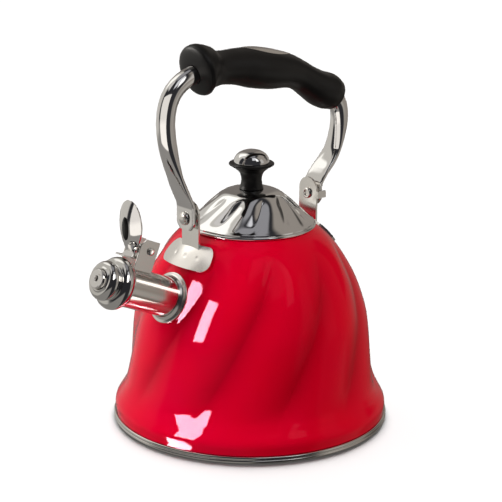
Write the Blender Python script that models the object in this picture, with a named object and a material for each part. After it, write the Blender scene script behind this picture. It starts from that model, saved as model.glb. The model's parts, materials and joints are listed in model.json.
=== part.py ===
"""Stovetop whistling kettle: fluted steel body, lift-off lid, folding handle, sprung flip-up whistle.

Frame: the origin is the middle of the underside of the base, +Z is up, and +X points to the spout.
All lengths are in metres and all angles in degrees.
"""
import math

import bmesh
import bpy
from mathutils import Vector

# ---------------------------------------------------------------- driving dimensions
FIT_GAP = 0.00035              # clearance between pieces that touch

FLUTE_COUNT = 10
FLUTE_DEPTH = 0.0022           # from the crest of a lobe down to the valley beside it
FLUTE_PHASE = 38.5             # angle of one valley at FLUTE_PHASE_HEIGHT
FLUTE_PHASE_HEIGHT = 0.058
FLUTE_TWIST = 385.0            # degrees that a valley turns per metre of height
FLUTE_FOOT = (0.014, 0.034)    # heights between which the lobes grow out of the plain skirt
FLUTE_TOP = (0.112, 0.131)     # heights between which they die away again
FLUTE_SOFTNESS = 0.10          # how round the bottom of a valley is
SHELL_SEGMENTS = 80
SHELL_WALL = 0.0010
SHELL_FOOT = 0.0047            # height of the shell's lower edge
# radius and height of the shell's outer side, from the mouth down to the foot
SHELL_OUTLINE = [(0.0430, 0.1352), (0.0440, 0.1345), (0.0490, 0.1310), (0.0552, 0.1250),
                 (0.0615, 0.1170), (0.0671, 0.1080), (0.0723, 0.0980), (0.0768, 0.0860),
                 (0.0805, 0.0720), (0.0839, 0.0460), (0.0867, 0.0280), (0.0897, 0.0200),
                 (0.0937, 0.0120), (0.0935, SHELL_FOOT)]

SPOUT_HOLE_RADIUS = 0.0112     # hole through the shell behind the spout

BASE_RADIUS = 0.0950
BASE_RIM_HEIGHT = 0.0044
BASE_SHEET = 0.0012            # thickness of the two steel sheets of the base
BASE_CORE = 0.0028             # thickness of the aluminium between them
BASE_CORE_RADIUS = 0.0820
BASE_RIM_WIDTH = 0.0030

MOUTH_RADIUS = 0.0406          # inside of the collar that lines the mouth
MOUTH_WALL = 0.0009
MOUTH_FOOT = 0.1262
MOUTH_LIP_RADIUS = 0.0425
MOUTH_LIP = (0.1360, 0.1368)   # heights of the lip's two sides
LID_RADIUS = 0.0440
LID_FOOT = 0.1355
LID_CROWN = 0.1606
LID_WALL = 0.0008
LID_BEAD = 0.0024              # height of the band round the lid's edge
LID_HOLE_RADIUS = 0.0024
# radius and height of the lid's outer side, from its band up to its crown
LID_FLANK = [(0.0428, 0.1388), (0.0392, 0.1416), (0.0300, 0.1501), (0.0210, 0.1575),
             (0.0145, LID_CROWN - 0.0003)]
LID_FLUTE_DEPTH = 0.0018
LID_FLUTE_PHASE = 20.0
LID_FLUTE_SWEEP = -18.0        # radians that a valley turns per metre of radius
LID_FLUTE_FOOT = (0.1375, 0.1440)
LID_FLUTE_TOP = (0.1530, 0.1590)
LID_SEGMENTS = 60
SKIRT_CLEARANCE = 0.0006       # between the lid's skirt and the mouth
SKIRT_FOOT = 0.1275
SKIRT_FLANGE_RADIUS = 0.0412
SKIRT_FLANGE = (0.1371, 0.1379)

KNOB_FLANGE_RADIUS = 0.0154
KNOB_FLANGE_HEIGHT = 0.1786
KNOB_CAP_RADIUS = 0.0121
KNOB_TOP = 0.1876
# radius and height of the knob's side above the lid's crown, from its foot to below its flange
KNOB_SIDE = [(0.0082, 0.00035), (0.0074, 0.00335), (0.0070, 0.0074), (0.0084, 0.0116), (0.0118, 0.0146),
             (0.0152, 0.0166)]
KNOB_BORE_TOP = 0.1765
KNOB_SCREW_RADIUS = 0.0020
KNOB_SCREW_TOP = 0.1755
SCREW_HEAD_RADIUS = 0.0044
SCREW_HEAD_HEIGHT = 0.0024
KNOB_WASHER_RADIUS = 0.0065
KNOB_WASHER_THICKNESS = 0.0008

HINGE_HEIGHT = 0.1494          # height of the axis that the handle folds about
UPRIGHT_INNER = 0.0518         # distance of a bracket's inner face from the middle
BRACKET_SHEET = 0.0014
UPRIGHT_HALF_WIDTH = 0.0087
UPRIGHT_FOOT = 0.1290
UPRIGHT_CROWN = 0.0025         # centre of the upright's round top, above the hinge
FOOT_HALF_ANGLE = 22.8
FOOT_LOW = 0.1165
FOOT_HIGH = 0.1300
FOOT_CORNER = 0.0056           # radius of the foot's corners
LUG_HALF_HEIGHT = 0.0024
LUG_REACH = 0.0592             # distance of the stop lug's tip from the middle
LUG_SIDE = 0.0108
LUG_THICKNESS = 0.0014
WASHER_THICKNESS = 0.0014
WASHER_RADIUS = 0.0062
TAB_THICKNESS = 0.0026
TAB_HALF_WIDTH = 0.0088
TAB_TAPER = 0.0042             # how much narrower each side of the tab's end is
TAB_END = (0.1400, 0.1462)
TAB_TO_TUBE = (0.1560, 0.2050)  # heights between which the flat tab becomes a round tube
TAB_TO_OVAL = (0.1560, 0.1800)  # heights between which its corners are rounded
TUBE_RADIUS = 0.0062
ARM_SIDES = 16
RIVET_RADIUS = 0.0027
RIVET_HEAD_RADIUS = 0.0046
RIVET_HEAD_HEIGHT = 0.0022
RIVET_TAIL = [(0.0019, 0.0002), (0.0023, 0.0014), (0.0036, 0.0012), (0.0038, 0.0)]  # radius and drop

ARM_TAB_X = UPRIGHT_INNER + BRACKET_SHEET + WASHER_THICKNESS + 2 * FIT_GAP + TAB_THICKNESS / 2
# middle of each arm in the plane y = 0: distance forward and height, from the tab to inside the grip
FRONT_ARM = [(ARM_TAB_X, 0.1418), (ARM_TAB_X, 0.1540), (0.0571, 0.1592), (0.0601, 0.1660),
             (0.0650, 0.1770), (0.0694, 0.1910), (0.0722, 0.2046), (0.0729, 0.2160), (0.0712, 0.2260),
             (0.0672, 0.2337), (0.0610, 0.2392), (0.0535, 0.2428), (0.0440, 0.2450)]
REAR_ARM = [(-ARM_TAB_X, 0.1418), (-ARM_TAB_X, 0.1540), (-0.0590, 0.1592), (-0.0632, 0.1642),
            (-0.0692, 0.1702), (-0.0744, 0.1770), (-0.0782, 0.1860), (-0.0805, 0.1960),
            (-0.0802, 0.2055), (-0.0772, 0.2125), (-0.0715, 0.2180)]
# middle of the grip and its half thickness: distance forward, height, radius
GRIP_SPINE = [(0.0478, 0.2460, 0.0166), (0.0450, 0.2466, 0.0171), (0.0410, 0.2468, 0.0153),
              (0.0350, 0.2461, 0.0124), (0.0275, 0.2460, 0.0112), (0.0150, 0.2454, 0.0121),
              (0.0010, 0.2434, 0.0137), (-0.0150, 0.2405, 0.0135), (-0.0300, 0.2378, 0.0117),
              (-0.0405, 0.2338, 0.0105), (-0.0505, 0.2278, 0.0110), (-0.0600, 0.2224, 0.0123),
              (-0.0680, 0.2194, 0.0127), (-0.0735, 0.2168, 0.0113)]
GRIP_END_DOMES = (0.16, 0.40)  # rise of each end over its radius, front and rear
GRIP_SIDES = 20
PLATE_ENDS = (0.0100, -0.0300)  # front and rear end of the plate in the grip's top
PLATE_HALF_TURN = 38.0         # half of the plate's width as an angle round the grip
PLATE_RECESS = 0.0014
PLATE_THICKNESS = 0.0012
PLATE_GAP = 0.0004

SPOUT_START = Vector((0.0703, 0.0, 0.0970))   # where the spout's axis meets its collar
SPOUT_ANGLE = 23.0                            # rise of the spout above level
SPOUT_RADIUS = 0.0134
SPOUT_WALL = 0.0010
SPOUT_LENGTH = 0.0455
SPOUT_SEGMENTS = 32
COLLAR_RADIUS = 0.0173
COLLAR_LIP = 0.0030            # height of the collar's inner lip

WHISTLE_START = 0.0440         # places along the spout's axis
WHISTLE_BIG = (0.0487, 0.0174, 0.0048)        # place, outer radius and bulge radius
WHISTLE_SMALL = (0.0572, 0.0130, 0.0044)
WHISTLE_WALL = 0.0008
WHISTLE_MOUTH = (0.0145, 0.0154)              # radii of its open end
NOZZLE_RADIUS = 0.0062
NOZZLE_END = 0.0645
NOZZLE_LENGTH = 0.0052
NOZZLE_HOLE_RADIUS = 0.0018
REED_DISC_RADIUS = 0.0102
REED_DISC_THICKNESS = 0.0008

PIVOT_ALONG = 0.0347           # the whistle's pivot: along the spout's axis and above it
PIVOT_ABOVE = 0.0262
PIN_RADIUS = 0.0015
PIN_HEAD = [(0.0025, 0.0), (0.0020, 0.0009), (0.0, 0.0011)]  # radius and height
EAR_INNER = 0.0069
EAR_SHEET = 0.0010
EAR_TOP = 0.0330
EAR_ENDS = (0.0288, 0.0436)    # along the spout's axis
EAR_CORNER = (0.0050, 0.0065)  # corner cut off an ear: along and down
SADDLE_SPREAD = 45             # angle that the saddle covers on each side of the spout's top
LEVER_SHEET = 0.0011
LEVER_HALF_WIDTH = 0.0060
LEVER_KNEE = (0.0449, 0.0192)  # along the spout's axis and above it
LEVER_TONGUE = [(0.0437, 0.0186), (0.0520, 0.0184), (0.0520, 0.0194), (0.0437, 0.0197)]
LEVER_TONGUE_HALF_WIDTH = 0.0045
EYE_RADIUS = 0.0030
EYE_ENDS = (-0.0060, 0.0008)
SPOON_ROOT = 0.1020            # distance forward of the spoon's foot
SPOON_TOP = 0.1685
SPOON_HALF_WIDTH = 0.0115
SPOON_TIP_HALF_WIDTH = 0.0030
SPOON_LEAN = 0.0042            # how far its middle stands forward
SPOON_DISH = 0.0046            # how far its edges curl back
SPOON_BLUNTNESS = 2.3          # 2 gives the spoon a half-oval end, more a blunter one
SPOON_HOLE = (0.1060, 0.1507)  # middle of the oval hole
SPOON_HOLE_HALF = (0.0036, 0.0078)
PAD_FRONT = 0.0072             # the pad's places forward of the spoon's foot: its face,
PAD_SEAT = (0.0004, 0.0014)    # and the two sides of its flange
PAD_FLANGE = 0.0010            # how far the flange reaches past the hole
SPRING_WIRE = 0.0004
SPRING_RADIUS = 0.0024
SPRING_ENDS = (0.0014, 0.0058)
SPRING_TURNS = 3
SPRING_ROOM = 0.0010           # clearance round the spring in the lever

SPOUT_DIRECTION = Vector((math.cos(math.radians(SPOUT_ANGLE)), 0, math.sin(math.radians(SPOUT_ANGLE))))
SPOUT_UP = Vector((-SPOUT_DIRECTION.z, 0, SPOUT_DIRECTION.x))
SIDE = Vector((0, 1, 0))
ACROSS = 0.012                 # reach of a cut that must pass through both ears


# ---------------------------------------------------------------- general helpers
def clear_scene():
    for old in list(bpy.data.objects):
        bpy.data.objects.remove(old, do_unlink=True)


def finish(name, colour, metallic, roughness):
    """A plain Principled material."""
    material = bpy.data.materials.new(name)
    material.use_nodes = True
    shader = material.node_tree.nodes["Principled BSDF"]
    shader.inputs["Base Color"].default_value = (*colour, 1.0)
    shader.inputs["Metallic"].default_value = metallic
    shader.inputs["Roughness"].default_value = roughness
    material.diffuse_color = (*colour, 1.0)
    return material


def add_part(name, mesh_data, material, origin=(0, 0, 0), crease=35.0):
    """Make an object from a bmesh, with its origin at the given point and its round faces smooth."""
    origin = Vector(origin)
    bmesh.ops.recalc_face_normals(mesh_data, faces=mesh_data.faces)
    bmesh.ops.translate(mesh_data, verts=mesh_data.verts, vec=-origin)
    mesh = bpy.data.meshes.new(name)
    mesh_data.to_mesh(mesh)
    mesh_data.free()
    mesh.materials.append(material)
    mesh.shade_smooth()
    mesh.set_sharp_from_angle(angle=math.radians(crease))
    part = bpy.data.objects.new(name, mesh)
    part.location = origin
    bpy.context.scene.collection.objects.link(part)
    return part


def combine(part, tool_mesh, operation):
    """Join a second closed form to a part, or cut it out of the part."""
    tool = add_part(part.name + "_tool", tool_mesh, part.data.materials[0])
    modifier = part.modifiers.new("combine", 'BOOLEAN')
    modifier.operation = operation
    modifier.solver = 'EXACT'
    modifier.object = tool
    bpy.context.view_layer.update()
    evaluated = part.evaluated_get(bpy.context.evaluated_depsgraph_get())
    result = bpy.data.meshes.new_from_object(evaluated)
    part.modifiers.clear()
    part.data = result
    bpy.data.objects.remove(tool, do_unlink=True)
    return part


def smooth_path(points, steps):
    """A curve through every point, with the given number of steps from each point to the next."""
    points = [Vector(point) for point in points]
    ends = [points[0] * 2 - points[1]] + points + [points[-1] * 2 - points[-2]]
    path = []
    for before, start, end, after in zip(ends, ends[1:], ends[2:], ends[3:]):
        for step in range(steps):
            t = step / steps
            path.append(0.5 * (2 * start + (end - before) * t
                               + (2 * before - 5 * start + 4 * end - after) * t ** 2
                               + (3 * start - before - 3 * end + after) * t ** 3))
    path.append(points[-1])
    return path


def arc(centre, radius, start, end, steps):
    """Points of a round stretch of an outline; angles are in degrees from the outline's first axis."""
    turns = [math.radians(start + (end - start) * step / steps) for step in range(steps + 1)]
    return [(centre[0] + radius * math.cos(turn), centre[1] + radius * math.sin(turn)) for turn in turns]


def loft(loops, closed=False):
    """A solid skin through loops of equal length; an open loft gets flat ends."""
    mesh = bmesh.new()
    rings = [[mesh.verts.new(point) for point in loop] for loop in loops]
    pairs = list(zip(rings, rings[1:]))
    if closed:
        pairs.append((rings[-1], rings[0]))
    for ring, following in pairs:
        for index in range(len(ring)):
            after = (index + 1) % len(ring)
            mesh.faces.new((ring[index], ring[after], following[after], following[index]))
    if not closed:
        mesh.faces.new(rings[0])
        mesh.faces.new(reversed(rings[-1]))
    return mesh


def turned(outline, segments, place=None):
    """Turn a closed outline of (radius, height) about an axis.

    place(angle, radius, height) gives the point in space, and defaults to turning about +Z.
    Points of the outline with no radius become a single vertex.
    """
    if place is None:
        place = around_z
    mesh = bmesh.new()
    rings = []
    for radius, height in outline:
        count = segments if radius > 0 else 1
        rings.append([mesh.verts.new(place(math.tau * k / segments, radius, height)) for k in range(count)])
    for ring, following in zip(rings, rings[1:] + rings[:1]):
        if len(ring) == 1 and len(following) == 1:
            continue
        for k in range(segments):
            corners = [ring[k % len(ring)], ring[(k + 1) % len(ring)],
                       following[(k + 1) % len(following)], following[k % len(following)]]
            unique = [corner for i, corner in enumerate(corners) if corner not in corners[:i]]
            mesh.faces.new(unique)
    return mesh


def around_z(angle, radius, height):
    return Vector((radius * math.cos(angle), radius * math.sin(angle), height))


def around_spout(angle, radius, along):
    """Turn about the spout's axis; heights of the outline are lengths along that axis."""
    across = SPOUT_UP * math.cos(angle) + SIDE * math.sin(angle)
    return SPOUT_START + SPOUT_DIRECTION * along + across * radius


def beside_spout(along, above, side=0.0):
    """A point given along the spout's axis, above it and to its side."""
    return SPOUT_START + SPOUT_DIRECTION * along + SPOUT_UP * above + SIDE * side


def cylinder(start, end, radius, segments=24):
    """A round bar from one point to another."""
    start, end = Vector(start), Vector(end)
    direction = (end - start).normalized()
    first = direction.orthogonal().normalized()
    second = direction.cross(first)
    loops = []
    for centre in (start, end):
        loops.append([centre + radius * (first * math.cos(math.tau * k / segments)
                                         + second * math.sin(math.tau * k / segments))
                      for k in range(segments)])
    return loft(loops)


def prism(outline, start, end):
    """A flat outline (list of 3-D points) pushed from the offset start to the offset end."""
    return loft([[Vector(point) + Vector(start) for point in outline],
                 [Vector(point) + Vector(end) for point in outline]])


def sheet(lower, upper):
    """A closed plate between two grids of points of the same size."""
    rows, columns = len(lower), len(lower[0])
    mesh = bmesh.new()
    low = [[mesh.verts.new(point) for point in row] for row in lower]
    high = [[mesh.verts.new(point) for point in row] for row in upper]
    for i in range(rows - 1):
        for j in range(columns - 1):
            for grid in (low, high):
                mesh.faces.new((grid[i][j], grid[i][j + 1], grid[i + 1][j + 1], grid[i + 1][j]))
    edge = [(0, j) for j in range(columns)] + [(i, columns - 1) for i in range(1, rows)]
    edge += [(rows - 1, j) for j in range(columns - 2, -1, -1)] + [(i, 0) for i in range(rows - 2, 0, -1)]
    for (i, j), (k, l) in zip(edge, edge[1:] + edge[:1]):
        mesh.faces.new((low[i][j], low[k][l], high[k][l], high[i][j]))
    return mesh


# ---------------------------------------------------------------- the body's form
SHELL_PATH = smooth_path([(r, 0.0, z) for r, z in SHELL_OUTLINE], 6)


def shell_radius(height):
    """Radius of the shell's outer side, over the crests of the lobes."""
    for upper, lower in zip(SHELL_PATH, SHELL_PATH[1:]):
        if lower.z <= height <= upper.z:
            share = (height - lower.z) / (upper.z - lower.z)
            return lower.x + (upper.x - lower.x) * share
    return SHELL_PATH[0].x if height > SHELL_PATH[0].z else SHELL_PATH[-1].x


def shell_point(angle, height, out=0.0):
    """A point on the shell's crests at this angle and height, moved out along the surface's normal."""
    step = 0.0005
    slope = (shell_radius(height + step) - shell_radius(height - step)) / (2 * step)
    normal = Vector((1.0, -slope)).normalized()
    radius = shell_radius(height) + normal.x * out
    return around_z(angle, radius, height + normal.y * out)


def fade(value, start, end):
    """Smooth change from 0 at start to 1 at end."""
    share = min(max((value - start) / (end - start), 0.0), 1.0)
    return share * share * (3 - 2 * share)


def lobe(angle):
    """Depth below the crest, from 0 on the crest to 1 in the valley at angle 0 (one lobe per half turn)."""
    crest = math.sqrt(1 + FLUTE_SOFTNESS ** 2) - FLUTE_SOFTNESS
    return 1 - (math.sqrt(math.sin(angle) ** 2 + FLUTE_SOFTNESS ** 2) - FLUTE_SOFTNESS) / crest


def fluted(angle, radius, height):
    """The shell's surface: lobes that turn as they rise and fade at the skirt and at the mouth."""
    valley = FLUTE_PHASE + FLUTE_TWIST * (height - FLUTE_PHASE_HEIGHT)
    turn = (angle - math.radians(valley)) * FLUTE_COUNT / 2
    depth = FLUTE_DEPTH * fade(height, *FLUTE_FOOT) * (1 - fade(height, *FLUTE_TOP))
    return around_z(angle, radius - depth * lobe(turn), height)


def make_shell(material):
    inner = [(radius - SHELL_WALL, height - SHELL_WALL * 0.4) for radius, height in SHELL_OUTLINE[-2::-1]]
    inner = [(SHELL_OUTLINE[-1][0] - SHELL_WALL, SHELL_FOOT)] + inner
    shell = add_part("body_shell", turned(SHELL_OUTLINE + inner, SHELL_SEGMENTS, fluted), material)
    bore = cylinder(beside_spout(-0.030, 0), beside_spout(0.030, 0), SPOUT_HOLE_RADIUS)
    return combine(shell, bore, 'DIFFERENCE')


def make_base(steel, aluminium):
    """Two steel sheets with an aluminium core, held by a rolled rim."""
    def disc(radius, low, high, segments=64):
        return turned([(0, low), (radius, low), (radius, high), (0, high)], segments)
    inside = BASE_RADIUS - BASE_RIM_WIDTH
    add_part("base_plate", disc(inside, 0, BASE_SHEET), steel)
    core_low = BASE_SHEET + FIT_GAP
    core_high = core_low + BASE_CORE
    add_part("base_core", disc(BASE_CORE_RADIUS, core_low, core_high, 48), aluminium)
    floor_low = core_high + FIT_GAP
    floor_high = floor_low + BASE_SHEET
    floor_radius = SHELL_OUTLINE[-1][0] - SHELL_WALL - FIT_GAP
    add_part("inner_floor", disc(floor_radius, floor_low, floor_high), steel)
    bead = BASE_RIM_HEIGHT / 4
    centre = BASE_RADIUS - bead
    outline = [(inside + FIT_GAP, 0)]
    outline += arc((centre, bead), bead, -90, 60, 3)
    outline += arc((centre, 3 * bead), bead, -60, 90, 3)
    outline += [(inside + FIT_GAP, BASE_RIM_HEIGHT)]
    add_part("base_rim", turned(outline, 64), steel)


def make_mouth(steel):
    """Collar that lines the mouth and carries the lid's skirt."""
    outside = MOUTH_RADIUS + MOUTH_WALL
    low, high = MOUTH_LIP
    outline = [(MOUTH_RADIUS, MOUTH_FOOT), (outside, MOUTH_FOOT), (outside, low), (MOUTH_LIP_RADIUS, low),
               (MOUTH_LIP_RADIUS, high), (MOUTH_RADIUS, high)]
    add_part("mouth_collar", turned(outline, 48), steel)


# ---------------------------------------------------------------- lid and knob
def lid_fluted(angle, radius, height):
    """The lid's surface: the same number of lobes, which fade at its rim and at its crown."""
    turn = (angle - math.radians(LID_FLUTE_PHASE) - radius * LID_FLUTE_SWEEP) * FLUTE_COUNT / 2
    depth = LID_FLUTE_DEPTH * fade(height, *LID_FLUTE_FOOT) * (1 - fade(height, *LID_FLUTE_TOP))
    return around_z(angle, radius - depth * lobe(turn), height)


def make_lid(chrome, steel):
    """Lobed lid, open underneath, and the skirt that drops into the mouth."""
    edge = LID_RADIUS - LID_WALL / 2
    outer = [(edge, LID_FOOT), (LID_RADIUS, LID_FOOT + LID_BEAD / 2), (edge, LID_FOOT + LID_BEAD)]
    outer += LID_FLANK + [(LID_HOLE_RADIUS, LID_CROWN)]
    inner = [(LID_HOLE_RADIUS, LID_CROWN - LID_WALL)]
    inner += [(radius - LID_WALL * 0.8, height - LID_WALL) for radius, height in outer[-2:2:-1]]
    inside = LID_RADIUS - LID_WALL
    inner += [(inside, LID_FOOT + LID_BEAD - 0.0002), (inside, LID_FOOT)]
    add_part("lid_shell", turned(outer + inner, LID_SEGMENTS, lid_fluted), chrome)

    outside = MOUTH_RADIUS - SKIRT_CLEARANCE
    inside = outside - LID_WALL
    low, high = SKIRT_FLANGE
    outline = [(inside, SKIRT_FOOT), (outside, SKIRT_FOOT), (outside, low), (SKIRT_FLANGE_RADIUS, low),
               (SKIRT_FLANGE_RADIUS, high), (inside, high)]
    add_part("lid_skirt", turned(outline, 48), steel)


def make_knob(plastic, chrome):
    """Waisted knob with a wide flange, and the bright cap on it."""
    side = smooth_path([(radius, 0, LID_CROWN + height) for radius, height in KNOB_SIDE], 2)
    bore = KNOB_SCREW_RADIUS + FIT_GAP
    seat = KNOB_FLANGE_HEIGHT + 0.0002
    outline = [(0, KNOB_BORE_TOP), (bore, KNOB_BORE_TOP), (bore, side[0].z)]
    outline += [(point.x, point.z) for point in side]
    outline += [(KNOB_FLANGE_RADIUS, KNOB_FLANGE_HEIGHT - 0.0006),
                (KNOB_FLANGE_RADIUS - 0.0004, KNOB_FLANGE_HEIGHT)]
    outline += [(KNOB_CAP_RADIUS + 0.0006, seat), (0, seat)]
    add_part("knob", turned(outline, 24), plastic)

    cap_foot = seat + FIT_GAP
    rise = KNOB_TOP - cap_foot
    dome = [(KNOB_CAP_RADIUS * math.cos(math.radians(turn)), cap_foot + rise * math.sin(math.radians(turn)))
            for turn in range(0, 90, 15)]
    add_part("knob_cap", turned([(0, cap_foot)] + dome + [(0, KNOB_TOP)], 28), chrome)


def make_knob_fixing(steel):
    """Screw and washer that hold the knob from inside the lid."""
    high = LID_CROWN - LID_WALL - FIT_GAP
    low = high - KNOB_WASHER_THICKNESS
    hole = KNOB_SCREW_RADIUS + FIT_GAP
    outline = [(hole, low), (KNOB_WASHER_RADIUS, low), (KNOB_WASHER_RADIUS, high), (hole, high)]
    add_part("knob_washer", turned(outline, 24), steel)
    head = low - FIT_GAP
    foot = head - SCREW_HEAD_HEIGHT
    outline = [(0, foot), (SCREW_HEAD_RADIUS - 0.0008, foot), (SCREW_HEAD_RADIUS, foot + 0.0014),
               (SCREW_HEAD_RADIUS, head), (KNOB_SCREW_RADIUS, head), (KNOB_SCREW_RADIUS, KNOB_SCREW_TOP),
               (0, KNOB_SCREW_TOP)]
    add_part("knob_screw", turned(outline, 20), steel)


# ---------------------------------------------------------------- handle brackets and pivots
def foot_stations():
    """Places along a foot, as shares of its half length, with the height that its round corners take off."""
    share = FOOT_CORNER / (math.radians(FOOT_HALF_ANGLE) * shell_radius((FOOT_LOW + FOOT_HIGH) / 2))
    turns = [math.radians(turn) for turn in (90, 66, 42, 20)]
    end = [(1 - share + share * math.sin(turn), FOOT_CORNER * (1 - math.cos(turn))) for turn in turns]
    middle = [((1 - share) * (1 - step / 3), 0.0) for step in range(7)]
    return end + middle + [(-place, cut) for place, cut in reversed(end)]


def foot_grid(front, out):
    """Points of a bracket's foot on the shoulder; front is 1 for the spout side and -1 for the rear."""
    rows = []
    middle = (FOOT_LOW + FOOT_HIGH) / 2
    half_height = (FOOT_HIGH - FOOT_LOW) / 2
    for place, cut in foot_stations():
        angle = math.radians(FOOT_HALF_ANGLE * place) + (0 if front > 0 else math.pi)
        heights = [middle + (half_height - cut) * (-1 + 2 * j / 5) for j in range(6)]
        rows.append([shell_point(angle, height, out) for height in heights])
    return rows


def make_bracket(name, front, steel):
    """A foot that hugs the shoulder and an upright with a round top and a rivet hole."""
    low, high = foot_grid(front, FIT_GAP), foot_grid(front, FIT_GAP + BRACKET_SHEET)
    bracket = add_part(name, sheet(low, high), steel)
    outline = arc((0, HINGE_HEIGHT + UPRIGHT_CROWN), UPRIGHT_HALF_WIDTH, 0, 180, 12)
    outline = [(UPRIGHT_HALF_WIDTH, UPRIGHT_FOOT)] + outline + [(-UPRIGHT_HALF_WIDTH, UPRIGHT_FOOT)]
    faces = [(0.0, y, z) for y, z in outline]
    near, far = front * UPRIGHT_INNER, front * (UPRIGHT_INNER + BRACKET_SHEET)
    bracket = combine(bracket, prism(faces, (near, 0, 0), (far, 0, 0)), 'UNION')
    hole = cylinder((near - front * 0.002, 0, HINGE_HEIGHT), (far + front * 0.002, 0, HINGE_HEIGHT),
                    RIVET_RADIUS + FIT_GAP, 20)
    return combine(bracket, hole, 'DIFFERENCE')


def add_stop_lug(bracket):
    """Lug bent out from the rear bracket's edge, which keeps the handle from falling that way."""
    edge = UPRIGHT_HALF_WIDTH - 0.0006
    low, high = HINGE_HEIGHT - LUG_HALF_HEIGHT, HINGE_HEIGHT + LUG_HALF_HEIGHT
    near, far = -UPRIGHT_INNER, -UPRIGHT_INNER - BRACKET_SHEET
    root = LUG_SIDE - LUG_THICKNESS
    plan = [(near, edge), (near, LUG_SIDE), (-LUG_REACH, LUG_SIDE), (-LUG_REACH, root), (far, root),
            (far, edge)]
    outline = [(x, y, 0.0) for x, y in plan]
    return combine(bracket, prism(outline, (0, 0, low), (0, 0, high)), 'UNION')


def make_pivot(name, washer_name, front, steel):
    """Rivet with a domed outer head and a flared inner end, and the washer between tab and bracket."""
    def place(angle, radius, outward):
        return Vector((front * outward, radius * math.sin(angle), HINGE_HEIGHT + radius * math.cos(angle)))
    tab_out = UPRIGHT_INNER + BRACKET_SHEET + WASHER_THICKNESS + 2 * FIT_GAP + TAB_THICKNESS
    head = tab_out + FIT_GAP
    dome = [(RIVET_HEAD_RADIUS * math.cos(math.radians(turn)),
             head + RIVET_HEAD_HEIGHT * math.sin(math.radians(turn))) for turn in range(0, 90, 22)]
    tail = UPRIGHT_INNER - FIT_GAP
    outline = [(0, tail - RIVET_TAIL[0][1])] + [(radius, tail - drop) for radius, drop in RIVET_TAIL]
    outline += [(RIVET_RADIUS, tail), (RIVET_RADIUS, head)] + dome + [(0, head + RIVET_HEAD_HEIGHT)]
    add_part(name, turned(outline, 16, place), steel, (front * UPRIGHT_INNER, 0, HINGE_HEIGHT))
    start = UPRIGHT_INNER + BRACKET_SHEET + FIT_GAP
    end = start + WASHER_THICKNESS
    hole = RIVET_RADIUS + FIT_GAP
    outline = [(hole, start), (WASHER_RADIUS, start), (WASHER_RADIUS, end), (hole, end)]
    add_part(washer_name, turned(outline, 24, place), steel)


# ---------------------------------------------------------------- folding handle
def arm_sections(middle_line, grow):
    """Sections of an arm, from a flat tab with a rounded end to a round tube."""
    path = smooth_path([(x, 0, z) for x, z in middle_line], 2)
    loops = []
    for index, centre in enumerate(path):
        ahead = path[min(index + 1, len(path) - 1)] - path[max(index - 1, 0)]
        across = Vector((ahead.z, 0, -ahead.x)).normalized()
        roundness = fade(centre.z, *TAB_TO_TUBE)
        half_thick = TAB_THICKNESS / 2 + (TUBE_RADIUS - TAB_THICKNESS / 2) * roundness + grow
        half_wide = TAB_HALF_WIDTH + (TUBE_RADIUS - TAB_HALF_WIDTH) * roundness + grow
        power = 2 / (6 - 4 * fade(centre.z, *TAB_TO_OVAL))
        half_wide -= TAB_TAPER * (1 - fade(centre.z, *TAB_END))
        loop = []
        for k in range(ARM_SIDES):
            cosine, sine = math.cos(math.tau * k / ARM_SIDES), math.sin(math.tau * k / ARM_SIDES)
            thick = half_thick * math.copysign(abs(cosine) ** power, cosine)
            wide = half_wide * math.copysign(abs(sine) ** power, sine)
            loop.append(centre + across * thick + SIDE * wide)
        loops.append(loop)
    return loops


def make_arm(name, middle_line, front, steel):
    arm = add_part(name, loft(arm_sections(middle_line, 0.0)), steel, (front * ARM_TAB_X, 0, HINGE_HEIGHT))
    near, far = front * (ARM_TAB_X - 0.004), front * (ARM_TAB_X + 0.004)
    hole = cylinder((near, 0, HINGE_HEIGHT), (far, 0, HINGE_HEIGHT), RIVET_RADIUS + FIT_GAP, 20)
    return combine(arm, hole, 'DIFFERENCE')


def grip_frame(path, index):
    ahead = path[min(index + 1, len(path) - 1)] - path[max(index - 1, 0)]
    direction = Vector((ahead.x, 0, ahead.y)).normalized()
    up = Vector((direction.z, 0, -direction.x))
    return direction, up if up.z > 0 else -up


def grip_ring(x, z, radius, up):
    turns = [math.tau * k / GRIP_SIDES for k in range(GRIP_SIDES)]
    return [Vector((x, 0, z)) + radius * (up * math.cos(turn) + SIDE * math.sin(turn)) for turn in turns]


def make_grip(plastic, steel):
    """Moulded grip with a socket for each arm and a metal plate let into its top."""
    path = smooth_path(GRIP_SPINE, 2)
    loops = [grip_ring(x, z, radius, grip_frame(path, index)[1])
             for index, (x, z, radius) in enumerate(path)]
    for index, dome in zip((0, len(path) - 1), GRIP_END_DOMES):
        x, z, radius = path[index]
        direction, up = grip_frame(path, index)
        outward = -direction if index == 0 else direction
        for turn in (30, 55, 75):
            shift = outward * radius * dome * math.sin(math.radians(turn))
            ring = grip_ring(x + shift.x, z + shift.z, radius * math.cos(math.radians(turn)), up)
            loops.insert(0 if index == 0 else len(loops), ring)
    grip = add_part("grip", loft(loops), plastic, (0, 0, HINGE_HEIGHT))
    for middle_line in (FRONT_ARM, REAR_ARM):
        grip = combine(grip, loft(arm_sections(middle_line, FIT_GAP)), 'DIFFERENCE')
    grip = combine(grip, plate_form(path, -PLATE_RECESS, 0.0040, 0.0), 'DIFFERENCE')
    low = PLATE_GAP - PLATE_RECESS
    plate = plate_form(path, low, low + PLATE_THICKNESS, PLATE_GAP)
    add_part("grip_plate", plate, steel, (0, 0, HINGE_HEIGHT))
    return grip


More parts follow.
